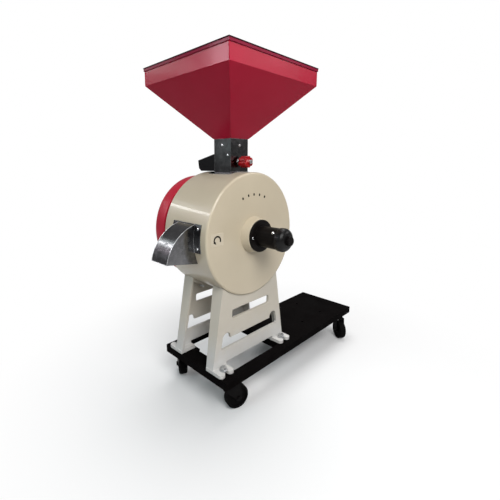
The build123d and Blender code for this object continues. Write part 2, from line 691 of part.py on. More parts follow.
# Rear cover with the tube that holds the bearings
with BuildPart() as rear_cover:
    with BuildSketch(across(0)):
        with BuildLine():
            Polyline(
                (tube_front, lip_radius),
                (tube_front, tube_radius),
                (cover_front, tube_radius),
                (cover_front, drum_radius),
                (DRUM_LENGTH, drum_radius),
                (DRUM_LENGTH, tube_radius),
                (tube_back, tube_radius),
                (tube_back, tube_bore),
                (tube_front + BEARING_LIP, tube_bore),
                (tube_front + BEARING_LIP, lip_radius),
                close=True,
            )
        make_face()
    revolve(axis=SHAFT_LINE)
    fillet(ring_edges(rear_cover, DRUM_LENGTH, drum_radius), REAR_COVER_ROUND)
    with BuildSketch(at_depth(DRUM_LENGTH)):
        with PolarLocations(rear_bolt_circle, REAR_BOLT_COUNT):
            Circle(REAR_BOLT_RADIUS + SEAT)
    extrude(amount=REAR_COVER_THICKNESS, mode=Mode.SUBTRACT)
    with BuildSketch(at_depth(tube_back)):
        with PolarLocations(cap_screw_circle, CAP_SCREW_COUNT):
            Circle(CAP_SCREW_RADIUS + SEAT)
    extrude(amount=CAP_SCREW_GRIP + SEAT, mode=Mode.SUBTRACT)
keep(rear_cover, "rear_cover")

rear_cover_bolts = bolts(
    [on_circle(rear_bolt_circle, turn, DRUM_LENGTH, (0, 1, 0)) for turn in even_turns(REAR_BOLT_COUNT)],
    REAR_BOLT_HEAD,
    REAR_BOLT_HEAD_HEIGHT,
    REAR_BOLT_RADIUS,
    REAR_COVER_THICKNESS + REAR_BOLT_GRIP,
)
keep(rear_cover_bolts, "rear_cover_bolts")

with BuildPart() as rear_bearings:
    for front in bearing_fronts:
        with BuildSketch(at_depth(front + BEARING_WIDTH)):
            Circle(BEARING_RADIUS)
            Circle(SHAFT_RADIUS + RUNNING_FIT, mode=Mode.SUBTRACT)
        extrude(amount=BEARING_WIDTH)
keep(rear_bearings, "rear_bearings")

with BuildPart() as bearing_cap:
    with BuildSketch(at_depth(cap_back)):
        Circle(tube_radius)
        Circle(SHAFT_RADIUS + FREE_GAP, mode=Mode.SUBTRACT)
        with PolarLocations(cap_screw_circle, CAP_SCREW_COUNT):
            Circle(CAP_SCREW_RADIUS + SEAT, mode=Mode.SUBTRACT)
    extrude(amount=BEARING_CAP_THICKNESS)
keep(bearing_cap, "bearing_cap")

bearing_cap_screws = round_screws(
    [on_circle(cap_screw_circle, turn, cap_back, (0, 1, 0)) for turn in even_turns(CAP_SCREW_COUNT)],
    CAP_SCREW_HEAD_RADIUS,
    CAP_SCREW_HEAD_HEIGHT,
    CAP_SCREW_RADIUS,
    BEARING_CAP_THICKNESS + CAP_SCREW_GRIP,
)
keep(bearing_cap_screws, "bearing_cap_screws")

# Disc springs between the shaft's collar and the rear bearing push the runner stone off the fixed one
with BuildPart() as return_springs:
    for index in range(SPRING_COUNT):
        near = collar_back + SPRING_GAP + index * spring_pitch
        far = near + spring_pitch - SPRING_GAP
        near_radius, far_radius = (spring_outer, spring_inner) if index % 2 else (spring_inner, spring_outer)
        with BuildSketch(across(0)):
            with BuildLine():
                Polyline(
                    (near, near_radius),
                    (near + SPRING_SHEET, near_radius),
                    (far, far_radius),
                    (far - SPRING_SHEET, far_radius),
                    close=True,
                )
            make_face()
        revolve(axis=SHAFT_LINE)
keep(return_springs, "return_springs")

# Shaft with the pulley's keyway
with BuildPart() as shaft:
    with BuildSketch(across(0)):
        with BuildLine():
            Polyline(
                (journal_front, 0),
                (journal_front, JOURNAL_RADIUS),
                (journal_back, JOURNAL_RADIUS),
                (journal_back, RUNNER_THREAD_RADIUS),
                (hub_front, RUNNER_THREAD_RADIUS),
                (hub_front, RUNNER_SEAT_RADIUS),
                (hub_back, RUNNER_SEAT_RADIUS),
                (hub_back, SHAFT_RADIUS),
                (collar_front, SHAFT_RADIUS),
                (collar_front, SHAFT_COLLAR_RADIUS),
                (collar_back, SHAFT_COLLAR_RADIUS),
                (collar_back, SHAFT_RADIUS),
                (pulley_front, SHAFT_RADIUS),
                (pulley_front, PULLEY_SEAT_RADIUS),
                (pulley_back, PULLEY_SEAT_RADIUS),
                (pulley_back, SHAFT_THREAD_RADIUS),
                (shaft_back, SHAFT_THREAD_RADIUS),
                (shaft_back, 0),
                close=True,
            )
        make_face()
    revolve(axis=SHAFT_LINE)
    with BuildSketch(at_depth(key_back + SEAT)):
        with Locations((0, key_bottom)):
            Rectangle(KEY_WIDTH + SEAT, KEY_HEIGHT, align=FROM_BELOW)
    extrude(amount=KEY_LENGTH + 2 * SEAT, mode=Mode.SUBTRACT)
keep(shaft, "shaft")

# Runner stone on its plate, whose sweepers push the flour round to the outlet
with BuildPart() as runner_plate:
    with BuildSketch(across(0)):
        with BuildLine():
            Polyline(
                (hub_front, RUNNER_SEAT_RADIUS + SEAT),
                (hub_front, RUNNER_HUB_RADIUS),
                (runner_plate_front, RUNNER_HUB_RADIUS),
                (runner_plate_front, runner_plate_radius),
                (runner_plate_back, runner_plate_radius),
                (runner_plate_back, RUNNER_HUB_RADIUS),
                (hub_back, RUNNER_HUB_RADIUS),
                (hub_back, RUNNER_SEAT_RADIUS + SEAT),
                close=True,
            )
        make_face()
    revolve(axis=SHAFT_LINE)
    with BuildSketch(at_depth(runner_plate_back + SWEEPER_LENGTH)):
        with PolarLocations(sweeper_radius - SWEEPER_THICKNESS, SWEEPER_COUNT):
            Rectangle(2 * SWEEPER_THICKNESS, SWEEPER_THICKNESS)
    extrude(amount=SWEEPER_LENGTH + RUNNER_PLATE_THICKNESS)
    with BuildSketch(at_depth(runner_plate_back)):
        with PolarLocations(sweeper_radius - SWEEPER_GAP, SWEEPER_COUNT):
            Rectangle(2 * SWEEPER_GAP, SWEEPER_THICKNESS)
    extrude(amount=RUNNER_PLATE_THICKNESS)
keep(runner_plate, "runner_plate")

runner_stone = turned(
    (runner_plate_back, RUNNER_HUB_RADIUS + SEAT),
    (runner_plate_back, STONE_RADIUS),
    (runner_face, STONE_RADIUS),
    (runner_face, STONE_EYE_RADIUS),
    (hub_back, RUNNER_HUB_RADIUS + SEAT),
)
keep(runner_stone, "runner_stone")

with BuildPart() as runner_nut:
    with BuildSketch(at_depth(hub_front)):
        RegularPolygon(radius=RUNNER_NUT_SIZE / 2, side_count=6, major_radius=False)
        Circle(RUNNER_THREAD_RADIUS + SEAT, mode=Mode.SUBTRACT)
    extrude(amount=RUNNER_NUT_LENGTH)
keep(runner_nut, "runner_nut")

# Fixed stone on its bed plate, which posts hold off the rear cover
fixed_stone = turned(
    (fixed_face, STONE_EYE_RADIUS),
    (fixed_face, STONE_RADIUS),
    (bed_front, STONE_RADIUS),
    (bed_front, STONE_EYE_RADIUS),
)
keep(fixed_stone, "fixed_stone")

with BuildPart() as bed_plate:
    with BuildSketch(at_depth(bed_back)):
        Circle(drum_bore - FREE_GAP)
        Circle(STONE_EYE_RADIUS, mode=Mode.SUBTRACT)
        with Locations((0, chute_floor_end - SEAT)):
            Rectangle(2 * (chute_half + SEAT), drum_radius, align=FROM_BELOW, mode=Mode.SUBTRACT)
    extrude(amount=BED_PLATE_THICKNESS)
keep(bed_plate, "bed_plate")

with BuildPart() as bed_posts:
    with BuildSketch(at_depth(cover_front)):
        for turn in BED_POST_ANGLES:
            with Locations((bed_post_circle * cos(radians(turn)), bed_post_circle * sin(radians(turn)))):
                Circle(BED_POST_RADIUS)
    extrude(amount=cover_front - bed_back)
keep(bed_posts, "bed_posts")

# Sheet chute from the inlet, over the stones, to the eye of the fixed stone
with BuildPart() as feed_chute:
    with BuildSketch(across(-chute_half)):
        with BuildLine():
            Polyline(
                (chute_front, chute_top),
                (chute_front, chute_top - CHUTE_SHEET),
                (bed_back + SEAT, chute_floor_end),
                (bed_back + SEAT, -CHUTE_FOOT),
                (chute_back, -CHUTE_FOOT),
                (chute_back, chute_top),
                close=True,
            )
        make_face()
    extrude(amount=2 * chute_half)
    with BuildSketch(across(-chute_half + CHUTE_SHEET)):
        with BuildLine():
            Polyline(
                (chute_front, chute_top + CHUTE_SHEET),
                (chute_front, chute_top),
                (bed_back + SEAT, chute_floor_end + CHUTE_SHEET),
                (bed_back + SEAT, -CHUTE_FOOT + CHUTE_SHEET),
                (chute_back - CHUTE_SHEET, -CHUTE_FOOT + CHUTE_SHEET),
                (chute_back - CHUTE_SHEET, chute_top + CHUTE_SHEET),
                close=True,
            )
        make_face()
    extrude(amount=2 * (chute_half - CHUTE_SHEET), mode=Mode.SUBTRACT)
    with BuildSketch(at_depth(chute_back)):
        Circle(SHAFT_RADIUS + FREE_GAP)
    extrude(amount=CHUTE_SHEET, mode=Mode.SUBTRACT)
keep(feed_chute, "feed_chute")

# Adjuster: a housing on the boss, a quill that slides in it, and the knob that moves the quill
with BuildPart() as adjuster_housing:
    with BuildSketch(across(0)):
        with BuildLine():
            Polyline(
                (sleeve_front, quill_bore),
                (sleeve_front, SLEEVE_RADIUS),
                (flange_front, SLEEVE_RADIUS),
                (flange_front, ADJUSTER_FLANGE_RADIUS),
                (-BOSS_LENGTH, ADJUSTER_FLANGE_RADIUS),
                (-BOSS_LENGTH, SPIGOT_RADIUS),
                (spigot_back, SPIGOT_RADIUS),
                (spigot_back, quill_bore),
                close=True,
            )
        make_face()
    revolve(axis=SHAFT_LINE)
    fillet(ring_edges(adjuster_housing, flange_front, ADJUSTER_FLANGE_RADIUS), ADJUSTER_FLANGE_ROUND)
    with BuildSketch(at_depth(flange_front)):
        with PolarLocations(ADJUSTER_SCREW_CIRCLE, ADJUSTER_SCREW_COUNT):
            Circle(ADJUSTER_SCREW_RADIUS + SEAT)
    extrude(amount=-ADJUSTER_FLANGE_THICKNESS, mode=Mode.SUBTRACT)
    with BuildSketch(nipple_place):
        Circle(NIPPLE_NECK_RADIUS + SEAT)
    extrude(amount=-NIPPLE_GRIP - SEAT, mode=Mode.SUBTRACT)
keep(adjuster_housing, "adjuster_housing")

adjuster_turns = even_turns(ADJUSTER_SCREW_COUNT)
adjuster_screws = round_screws(
    [on_circle(ADJUSTER_SCREW_CIRCLE, turn, flange_front, (0, -1, 0)) for turn in adjuster_turns],
    ADJUSTER_SCREW_HEAD_RADIUS,
    ADJUSTER_SCREW_HEAD_HEIGHT,
    ADJUSTER_SCREW_RADIUS,
    ADJUSTER_FLANGE_THICKNESS + ADJUSTER_SCREW_GRIP,
)
keep(adjuster_screws, "adjuster_screws")

with BuildPart() as grease_nipple:
    with BuildSketch(nipple_place):
        RegularPolygon(radius=NIPPLE_SIZE / 2, side_count=6, major_radius=False)
    extrude(amount=NIPPLE_BASE_HEIGHT)
    with BuildSketch(nipple_place.offset(-NIPPLE_GRIP)):
        Circle(NIPPLE_NECK_RADIUS)
    extrude(amount=NIPPLE_GRIP + NIPPLE_HEIGHT)
    chamfer(grease_nipple.edges().filter_by(GeomType.CIRCLE).sort_by(Axis.Z)[-1], NIPPLE_CHAMFER)
keep(grease_nipple, "grease_nipple")

quill = turned(
    (spindle_front, 0),
    (spindle_front, SPINDLE_RADIUS),
    (quill_front, SPINDLE_RADIUS),
    (quill_front, QUILL_RADIUS),
    (quill_back, QUILL_RADIUS),
    (quill_back, FRONT_BEARING_RADIUS + SEAT),
    (front_bearing_front, FRONT_BEARING_RADIUS + SEAT),
    (front_bearing_front, thrust_pocket_radius),
    (thrust_pocket_front, thrust_pocket_radius),
    (thrust_pocket_front, 0),
)
keep(quill, "quill")

front_bearing = turned(
    (front_bearing_front + SEAT, JOURNAL_RADIUS + RUNNING_FIT),
    (front_bearing_front + SEAT, FRONT_BEARING_RADIUS),
    (quill_back - SEAT, FRONT_BEARING_RADIUS),
    (quill_back - SEAT, JOURNAL_RADIUS + RUNNING_FIT),
)
keep(front_bearing, "front_bearing")

with BuildPart() as thrust_ball:
    with BuildSketch(across(0)):
        with BuildLine():
            CenterArc((thrust_ball_depth, 0), THRUST_BALL_RADIUS, 0, 180)
            Line((thrust_ball_depth - THRUST_BALL_RADIUS, 0), (thrust_ball_depth + THRUST_BALL_RADIUS, 0))
        make_face()
    revolve(axis=SHAFT_LINE)
keep(thrust_ball, "thrust_ball")

with BuildPart() as adjuster_knob:
    with BuildSketch(across(0)):
        with BuildLine():
            Polyline(
                (knob_front, SPINDLE_RADIUS + RUNNING_FIT),
                (knob_front, KNOB_RADIUS),
                (knob_back, KNOB_RADIUS),
                (knob_back, SLEEVE_RADIUS + FREE_GAP),
                (knob_web_back, SLEEVE_RADIUS + FREE_GAP),
                (knob_web_back, KNOB_HUB_RADIUS),
                (knob_hub_back, KNOB_HUB_RADIUS),
                (knob_hub_back, SPINDLE_RADIUS + RUNNING_FIT),
                close=True,
            )
        make_face()
    revolve(axis=SHAFT_LINE)
    fillet(ring_edges(adjuster_knob, knob_front, KNOB_RADIUS), KNOB_ROUND)
    with BuildSketch(at_depth(knob_front + KNOB_ROUND)):
        with PolarLocations(KNOB_RADIUS, KNOB_GRIP_COUNT):
            Circle(KNOB_GRIP_RADIUS)
    extrude(amount=-KNOB_GRIP_LENGTH, mode=Mode.SUBTRACT)
keep(adjuster_knob, "adjuster_knob")

with BuildPart() as spindle_nut:
    with BuildSketch(across(0)):
        with BuildLine():
            Polyline(
                (nut_front, 0),
                (nut_front, SPINDLE_NUT_RADIUS),
                (knob_front - SEAT, SPINDLE_NUT_RADIUS),
                (knob_front - SEAT, SPINDLE_RADIUS + SEAT),
                (spindle_front - SEAT, SPINDLE_RADIUS + SEAT),
                (spindle_front - SEAT, 0),
                close=True,
            )
        make_face()
    revolve(axis=SHAFT_LINE)
    fillet(ring_edges(spindle_nut, nut_front, SPINDLE_NUT_RADIUS), SPINDLE_NUT_ROUND)
keep(spindle_nut, "spindle_nut")

# Flat-belt pulley with a crowned rim
with BuildPart() as pulley:
    with BuildSketch(across(0)):
        with BuildLine():
            ThreePointArc(
                (pulley_front, PULLEY_RADIUS - PULLEY_CROWN),
                (pulley_middle, PULLEY_RADIUS),
                (pulley_back, PULLEY_RADIUS - PULLEY_CROWN),
            )
            Polyline(
                (pulley_back, PULLEY_RADIUS - PULLEY_CROWN),
                (pulley_back, pulley_rim_bore),
                (pulley_web_back, pulley_rim_bore),
                (pulley_web_back, PULLEY_HUB_RADIUS),
                (pulley_back, PULLEY_HUB_RADIUS),
                (pulley_back, PULLEY_SEAT_RADIUS + SEAT),
                (pulley_front + SEAT, PULLEY_SEAT_RADIUS + SEAT),
                (pulley_front + SEAT, PULLEY_HUB_RADIUS),
                (pulley_web_front, PULLEY_HUB_RADIUS),
                (pulley_web_front, pulley_rim_bore),
                (pulley_front, pulley_rim_bore),
                (pulley_front, PULLEY_RADIUS - PULLEY_CROWN),
            )
        make_face()
    revolve(axis=SHAFT_LINE)
    with BuildSketch(at_depth(pulley_web_back)):
        with PolarLocations(pulley_hole_circle, PULLEY_HOLE_COUNT):
            Circle(PULLEY_HOLE_RADIUS)
    extrude(amount=PULLEY_WEB, mode=Mode.SUBTRACT)
    with BuildSketch(at_depth(pulley_back)):
        Rectangle(KEY_WIDTH + SEAT, key_bottom + KEY_HEIGHT + SEAT, align=FROM_BELOW)
    extrude(amount=PULLEY_WIDTH, mode=Mode.SUBTRACT)
keep(pulley, "pulley")

with BuildPart() as pulley_key:
    with BuildSketch(at_depth(key_back)):
        with Locations((0, key_bottom)):
            Rectangle(KEY_WIDTH, KEY_HEIGHT, align=FROM_BELOW)
    extrude(amount=KEY_LENGTH)
keep(pulley_key, "pulley_key")

with BuildPart() as pulley_nut:
    with BuildSketch(at_depth(washer_back)):
        Circle(PULLEY_WASHER_RADIUS)
        Circle(SHAFT_THREAD_RADIUS + SEAT, mode=Mode.SUBTRACT)
    extrude(amount=PULLEY_WASHER_THICKNESS)
    with BuildSketch(at_depth(pulley_nut_back)):
        RegularPolygon(radius=PULLEY_NUT_SIZE / 2, side_count=6, major_radius=False)
        Circle(SHAFT_THREAD_RADIUS + SEAT, mode=Mode.SUBTRACT)
    extrude(amount=PULLEY_NUT_LENGTH)
keep(pulley_nut, "pulley_nut")

# Hopper: a square band with a folded lip, a pyramid, and a spigot inside the neck
with BuildPart() as hopper:
    with BuildSketch(at_height(neck_top, depth=mid_depth)):
        Rectangle(2 * NECK_HALF, 2 * NECK_HALF)
    with BuildSketch(at_height(cone_top, depth=mid_depth)):
        Rectangle(2 * HOPPER_HALF, 2 * HOPPER_HALF)
    loft()
    with BuildSketch(at_height(cone_top, depth=mid_depth)):
        Rectangle(2 * HOPPER_HALF, 2 * HOPPER_HALF)
    extrude(amount=HOPPER_BAND)
    with BuildSketch(at_height(hopper_top, depth=mid_depth)):
        Rectangle(2 * (HOPPER_HALF + HOPPER_LIP), 2 * (HOPPER_HALF + HOPPER_LIP))
    extrude(amount=-HOPPER_LIP_HEIGHT)
    with BuildSketch(at_height(neck_top, depth=mid_depth)):
        Rectangle(2 * spigot_half, 2 * spigot_half)
    extrude(amount=-HOPPER_SPIGOT)
    with BuildSketch(at_height(neck_top, depth=mid_depth)):
        Rectangle(2 * spigot_bore, 2 * spigot_bore)
    with BuildSketch(at_height(cone_top, depth=mid_depth)):
        Rectangle(2 * (HOPPER_HALF - HOPPER_SHEET), 2 * (HOPPER_HALF - HOPPER_SHEET))
    loft(mode=Mode.SUBTRACT)
    with BuildSketch(at_height(cone_top, depth=mid_depth)):
        Rectangle(2 * (HOPPER_HALF - HOPPER_SHEET), 2 * (HOPPER_HALF - HOPPER_SHEET))
    extrude(amount=HOPPER_BAND, mode=Mode.SUBTRACT)
    with BuildSketch(at_height(neck_top, depth=mid_depth)):
        Rectangle(2 * spigot_bore, 2 * spigot_bore)
    extrude(amount=-HOPPER_SPIGOT, mode=Mode.SUBTRACT)
    for place in hopper_screw_places:
        with BuildSketch(place):
            Circle(SHEET_SCREW_RADIUS + SEAT)
        extrude(amount=-hopper_screw_length, mode=Mode.SUBTRACT)
keep(hopper, "hopper")

with BuildPart() as rim_edging:
    with BuildSketch(at_height(hopper_top, depth=mid_depth)):
        Rectangle(2 * rim_half, 2 * rim_half)
        Rectangle(2 * (rim_half - EDGING_WIDTH), 2 * (rim_half - EDGING_WIDTH), mode=Mode.SUBTRACT)
    extrude(amount=EDGING_HEIGHT)
    fillet(rim_edging.edges().filter_by(Axis.Z, reverse=True).group_by(Axis.Z)[-1], EDGING_ROUND)
keep(rim_edging, "rim_edging")

hopper_screws = round_screws(
    hopper_screw_places,
    SHEET_SCREW_HEAD_RADIUS,
    SHEET_SCREW_HEAD_HEIGHT,
    SHEET_SCREW_RADIUS,
    hopper_screw_length,
)
keep(hopper_screws, "hopper_screws")

# Neck: a square sheet tube on a skirt that is rolled to the drum, open at the back for the gate
with BuildPart() as neck:
    with BuildSketch(at_depth(mid_depth + NECK_HALF + NECK_SKIRT)):
        Circle(skirt_radius)
        Rectangle(2 * (NECK_HALF + NECK_SKIRT), skirt_radius, align=FROM_BELOW, mode=Mode.INTERSECT)
    extrude(amount=2 * (NECK_HALF + NECK_SKIRT))
    with BuildSketch(at_height(0, depth=mid_depth)):
        Rectangle(2 * NECK_HALF, 2 * NECK_HALF)
    extrude(amount=neck_top)
    with BuildSketch(at_depth(DRUM_LENGTH)):
        Circle(drum_radius + SEAT)
    extrude(amount=DRUM_LENGTH, mode=Mode.SUBTRACT)
    with BuildSketch(at_height(0, depth=mid_depth)):
        Rectangle(2 * neck_bore, 2 * neck_bore)
    extrude(amount=neck_top, mode=Mode.SUBTRACT)
    with BuildSketch(at_depth(neck_back)):
        with Locations((0, rail_top - GATE_RAIL_HEIGHT - FREE_GAP)):
            Rectangle(2 * rail_outer, gate_opening_height, align=FROM_BELOW)
    extrude(amount=NECK_SHEET, mode=Mode.SUBTRACT)
    with BuildSketch(at_depth(neck_front)):
        with Locations((0, gate_height)):
            Circle(GATE_BUSH_SLEEVE_RADIUS + SEAT)
    extrude(amount=-NECK_SHEET, mode=Mode.SUBTRACT)
    for place in hopper_screw_places:
        with BuildSketch(place):
            Circle(SHEET_SCREW_RADIUS + SEAT)
        extrude(amount=-NECK_SHEET, mode=Mode.SUBTRACT)
    for place in neck_rivet_places:
        with BuildSketch(place):
            Circle(NECK_RIVET_RADIUS + SEAT)
        extrude(amount=-NECK_SHEET, mode=Mode.SUBTRACT)
keep(neck, "neck")

neck_rivets = round_screws(
    neck_rivet_places, NECK_RIVET_HEAD_RADIUS, NECK_RIVET_HEAD_HEIGHT, NECK_RIVET_RADIUS, NECK_SHEET
)
keep(neck_rivets, "neck_rivets")

# Pocket that takes the gate when it is open
with BuildPart() as gate_pocket:
    with BuildSketch(across(-NECK_HALF)):
        with BuildLine():
            Polyline(
                (pocket_front, pocket_bottom),
                (pocket_front, pocket_bottom + POCKET_FRONT_HEIGHT),
                (pocket_back, pocket_bottom + POCKET_BACK_HEIGHT),
                (pocket_back - POCKET_BACK_LEAN, pocket_bottom + POCKET_CORNER_HEIGHT),
                (pocket_back - POCKET_BACK_LEAN - POCKET_CORNER_LENGTH, pocket_bottom),
                close=True,
            )
        make_face()
    extrude(amount=2 * NECK_HALF)
    offset(amount=-POCKET_SHEET, openings=gate_pocket.faces().sort_by(Axis.Y)[0])
keep(gate_pocket, "gate_pocket")

with BuildPart() as gate_rails:
    with BuildSketch(at_height(rail_top)):
        for side in (-1, 1):
            with Locations((side * (rail_outer - GATE_RAIL_WIDTH / 2), (rail_front + rail_back) / 2)):
                Rectangle(GATE_RAIL_WIDTH, rail_back - rail_front)
    extrude(amount=-GATE_RAIL_HEIGHT)
keep(gate_rails, "gate_rails")

with BuildPart() as feed_gate:
    with BuildSketch(at_height(gate_plate_bottom, depth=gate_front)):
        Rectangle(2 * gate_half, GATE_LENGTH, align=FROM_BELOW)
    extrude(amount=GATE_THICKNESS)
    with BuildSketch(at_height(gate_plate_top, depth=gate_front)):
        Rectangle(2 * GATE_BLOCK_HALF, GATE_BLOCK_LENGTH, align=FROM_BELOW)
    extrude(amount=GATE_DROP + GATE_BLOCK_TOP)
    with BuildSketch(at_depth(gate_front)):
        with Locations((0, gate_height)):
            Circle(GATE_SCREW_RADIUS + RUNNING_FIT)
    extrude(amount=-GATE_BLOCK_LENGTH, mode=Mode.SUBTRACT)
keep(feed_gate, "feed_gate")

with BuildPart() as gate_screw:
    with BuildSketch(at_depth(gate_screw_back)):
        with Locations((0, gate_height)):
            Circle(GATE_SCREW_RADIUS)
    extrude(amount=gate_screw_back - gate_screw_front)
keep(gate_screw, "gate_screw")

with BuildPart() as gate_bush:
    with BuildSketch(at_depth(neck_front)):
        with Locations((0, gate_height)):
            RegularPolygon(radius=GATE_BUSH_SIZE / 2, side_count=6, major_radius=False)
    extrude(amount=GATE_BUSH_FLANGE)
    with BuildSketch(at_depth(neck_front + NECK_SHEET)):
        with Locations((0, gate_height)):
            Circle(GATE_BUSH_SLEEVE_RADIUS)
    extrude(amount=NECK_SHEET)
    with BuildSketch(at_depth(neck_front + NECK_SHEET)):
        with Locations((0, gate_height)):
            Circle(GATE_SCREW_RADIUS + RUNNING_FIT)
    extrude(amount=NECK_SHEET + GATE_BUSH_FLANGE, mode=Mode.SUBTRACT)
keep(gate_bush, "gate_bush")

with BuildPart() as gate_knob:
    with BuildSketch(at_depth(gate_grip_back)):
        with Locations((0, gate_height)):
            Circle(GATE_KNOB_RADIUS)
            with PolarLocations(gate_flute_circle, GATE_KNOB_LOBES):
                Circle(GATE_KNOB_FLUTE, mode=Mode.SUBTRACT)
    extrude(amount=GATE_KNOB_LENGTH)
    fillet(gate_knob.edges().group_by(Axis.Y)[0], GATE_KNOB_ROUND)
    fillet(gate_knob.edges().group_by(Axis.Y)[-1], GATE_KNOB_ROUND)
    with BuildSketch(at_depth(gate_knob_back)):
        with Locations((0, gate_height)):
            Circle(GATE_KNOB_BOSS_RADIUS)
    extrude(amount=GATE_KNOB_BOSS_LENGTH)
    with BuildSketch(at_depth(gate_knob_back)):
        with Locations((0, gate_height)):
            Circle(GATE_SCREW_RADIUS + SEAT)
    extrude(amount=GATE_KNOB_BOSS_LENGTH + GATE_KNOB_LENGTH, mode=Mode.SUBTRACT)
keep(gate_knob, "gate_knob")

with BuildPart() as gate_knob_nut:
    with BuildSketch(at_depth(gate_grip_front - SEAT)):
        with Locations((0, gate_height)):
            RegularPolygon(radius=GATE_NUT_SIZE / 2, side_count=6, major_radius=False)
            Circle(GATE_SCREW_RADIUS + SEAT, mode=Mode.SUBTRACT)
    extrude(amount=GATE_NUT_LENGTH)
keep(gate_knob_nut, "gate_knob_nut")

# Spout: a rolled flange on the drum and a hood that is open below
with BuildPart() as spout:
    with BuildSketch(at_depth(SPOUT_DEPTH + SPOUT_FLANGE_WIDTH / 2)):
        Circle(drum_radius + SEAT + SPOUT_SHEET)
        with Locations((-drum_radius, (SPOUT_FLANGE_TOP - SPOUT_FLANGE_BOTTOM) / 2)):
            Rectangle(drum_radius, SPOUT_FLANGE_TOP + SPOUT_FLANGE_BOTTOM, mode=Mode.INTERSECT)
    extrude(amount=SPOUT_FLANGE_WIDTH)
    with BuildSketch(at_depth(spout_back)):
        with Locations((-spout_arc_x, -SPOUT_ARC_DROP)):
            Circle(SPOUT_ARC_RADIUS)
        with BuildLine(mode=Mode.PRIVATE) as above_mouth:
            Polyline(*spout_bounds, close=True)
        make_face(above_mouth.line, mode=Mode.INTERSECT)
    extrude(amount=SPOUT_WIDTH)
    with BuildSketch(at_depth(spout_back - SPOUT_SHEET)):
        with Locations((-spout_arc_x, -SPOUT_ARC_DROP)):
            Circle(SPOUT_ARC_RADIUS - SPOUT_SHEET)
        with Locations((-spout_arc_x, -SPOUT_ARC_DROP)):
            Rectangle(4 * SPOUT_ARC_RADIUS, 4 * SPOUT_ARC_RADIUS, mode=Mode.INTERSECT)
    extrude(amount=SPOUT_WIDTH - 2 * SPOUT_SHEET, mode=Mode.SUBTRACT)
    with BuildSketch(at_depth(DRUM_LENGTH)):
        Circle(drum_radius + SEAT)
    extrude(amount=DRUM_LENGTH, mode=Mode.SUBTRACT)
    for place in spout_screw_places:
        with BuildSketch(place):
            Circle(SHEET_SCREW_RADIUS + SEAT)
        extrude(amount=-SPOUT_SHEET - SHEET_SCREW_RADIUS, mode=Mode.SUBTRACT)
keep(spout, "spout")

spout_screws = round_screws(
    spout_screw_places,
    SHEET_SCREW_HEAD_RADIUS,
    SHEET_SCREW_HEAD_HEIGHT,
    SHEET_SCREW_RADIUS,
    spout_screw_length,
)
keep(spout_screws, "spout_screws")

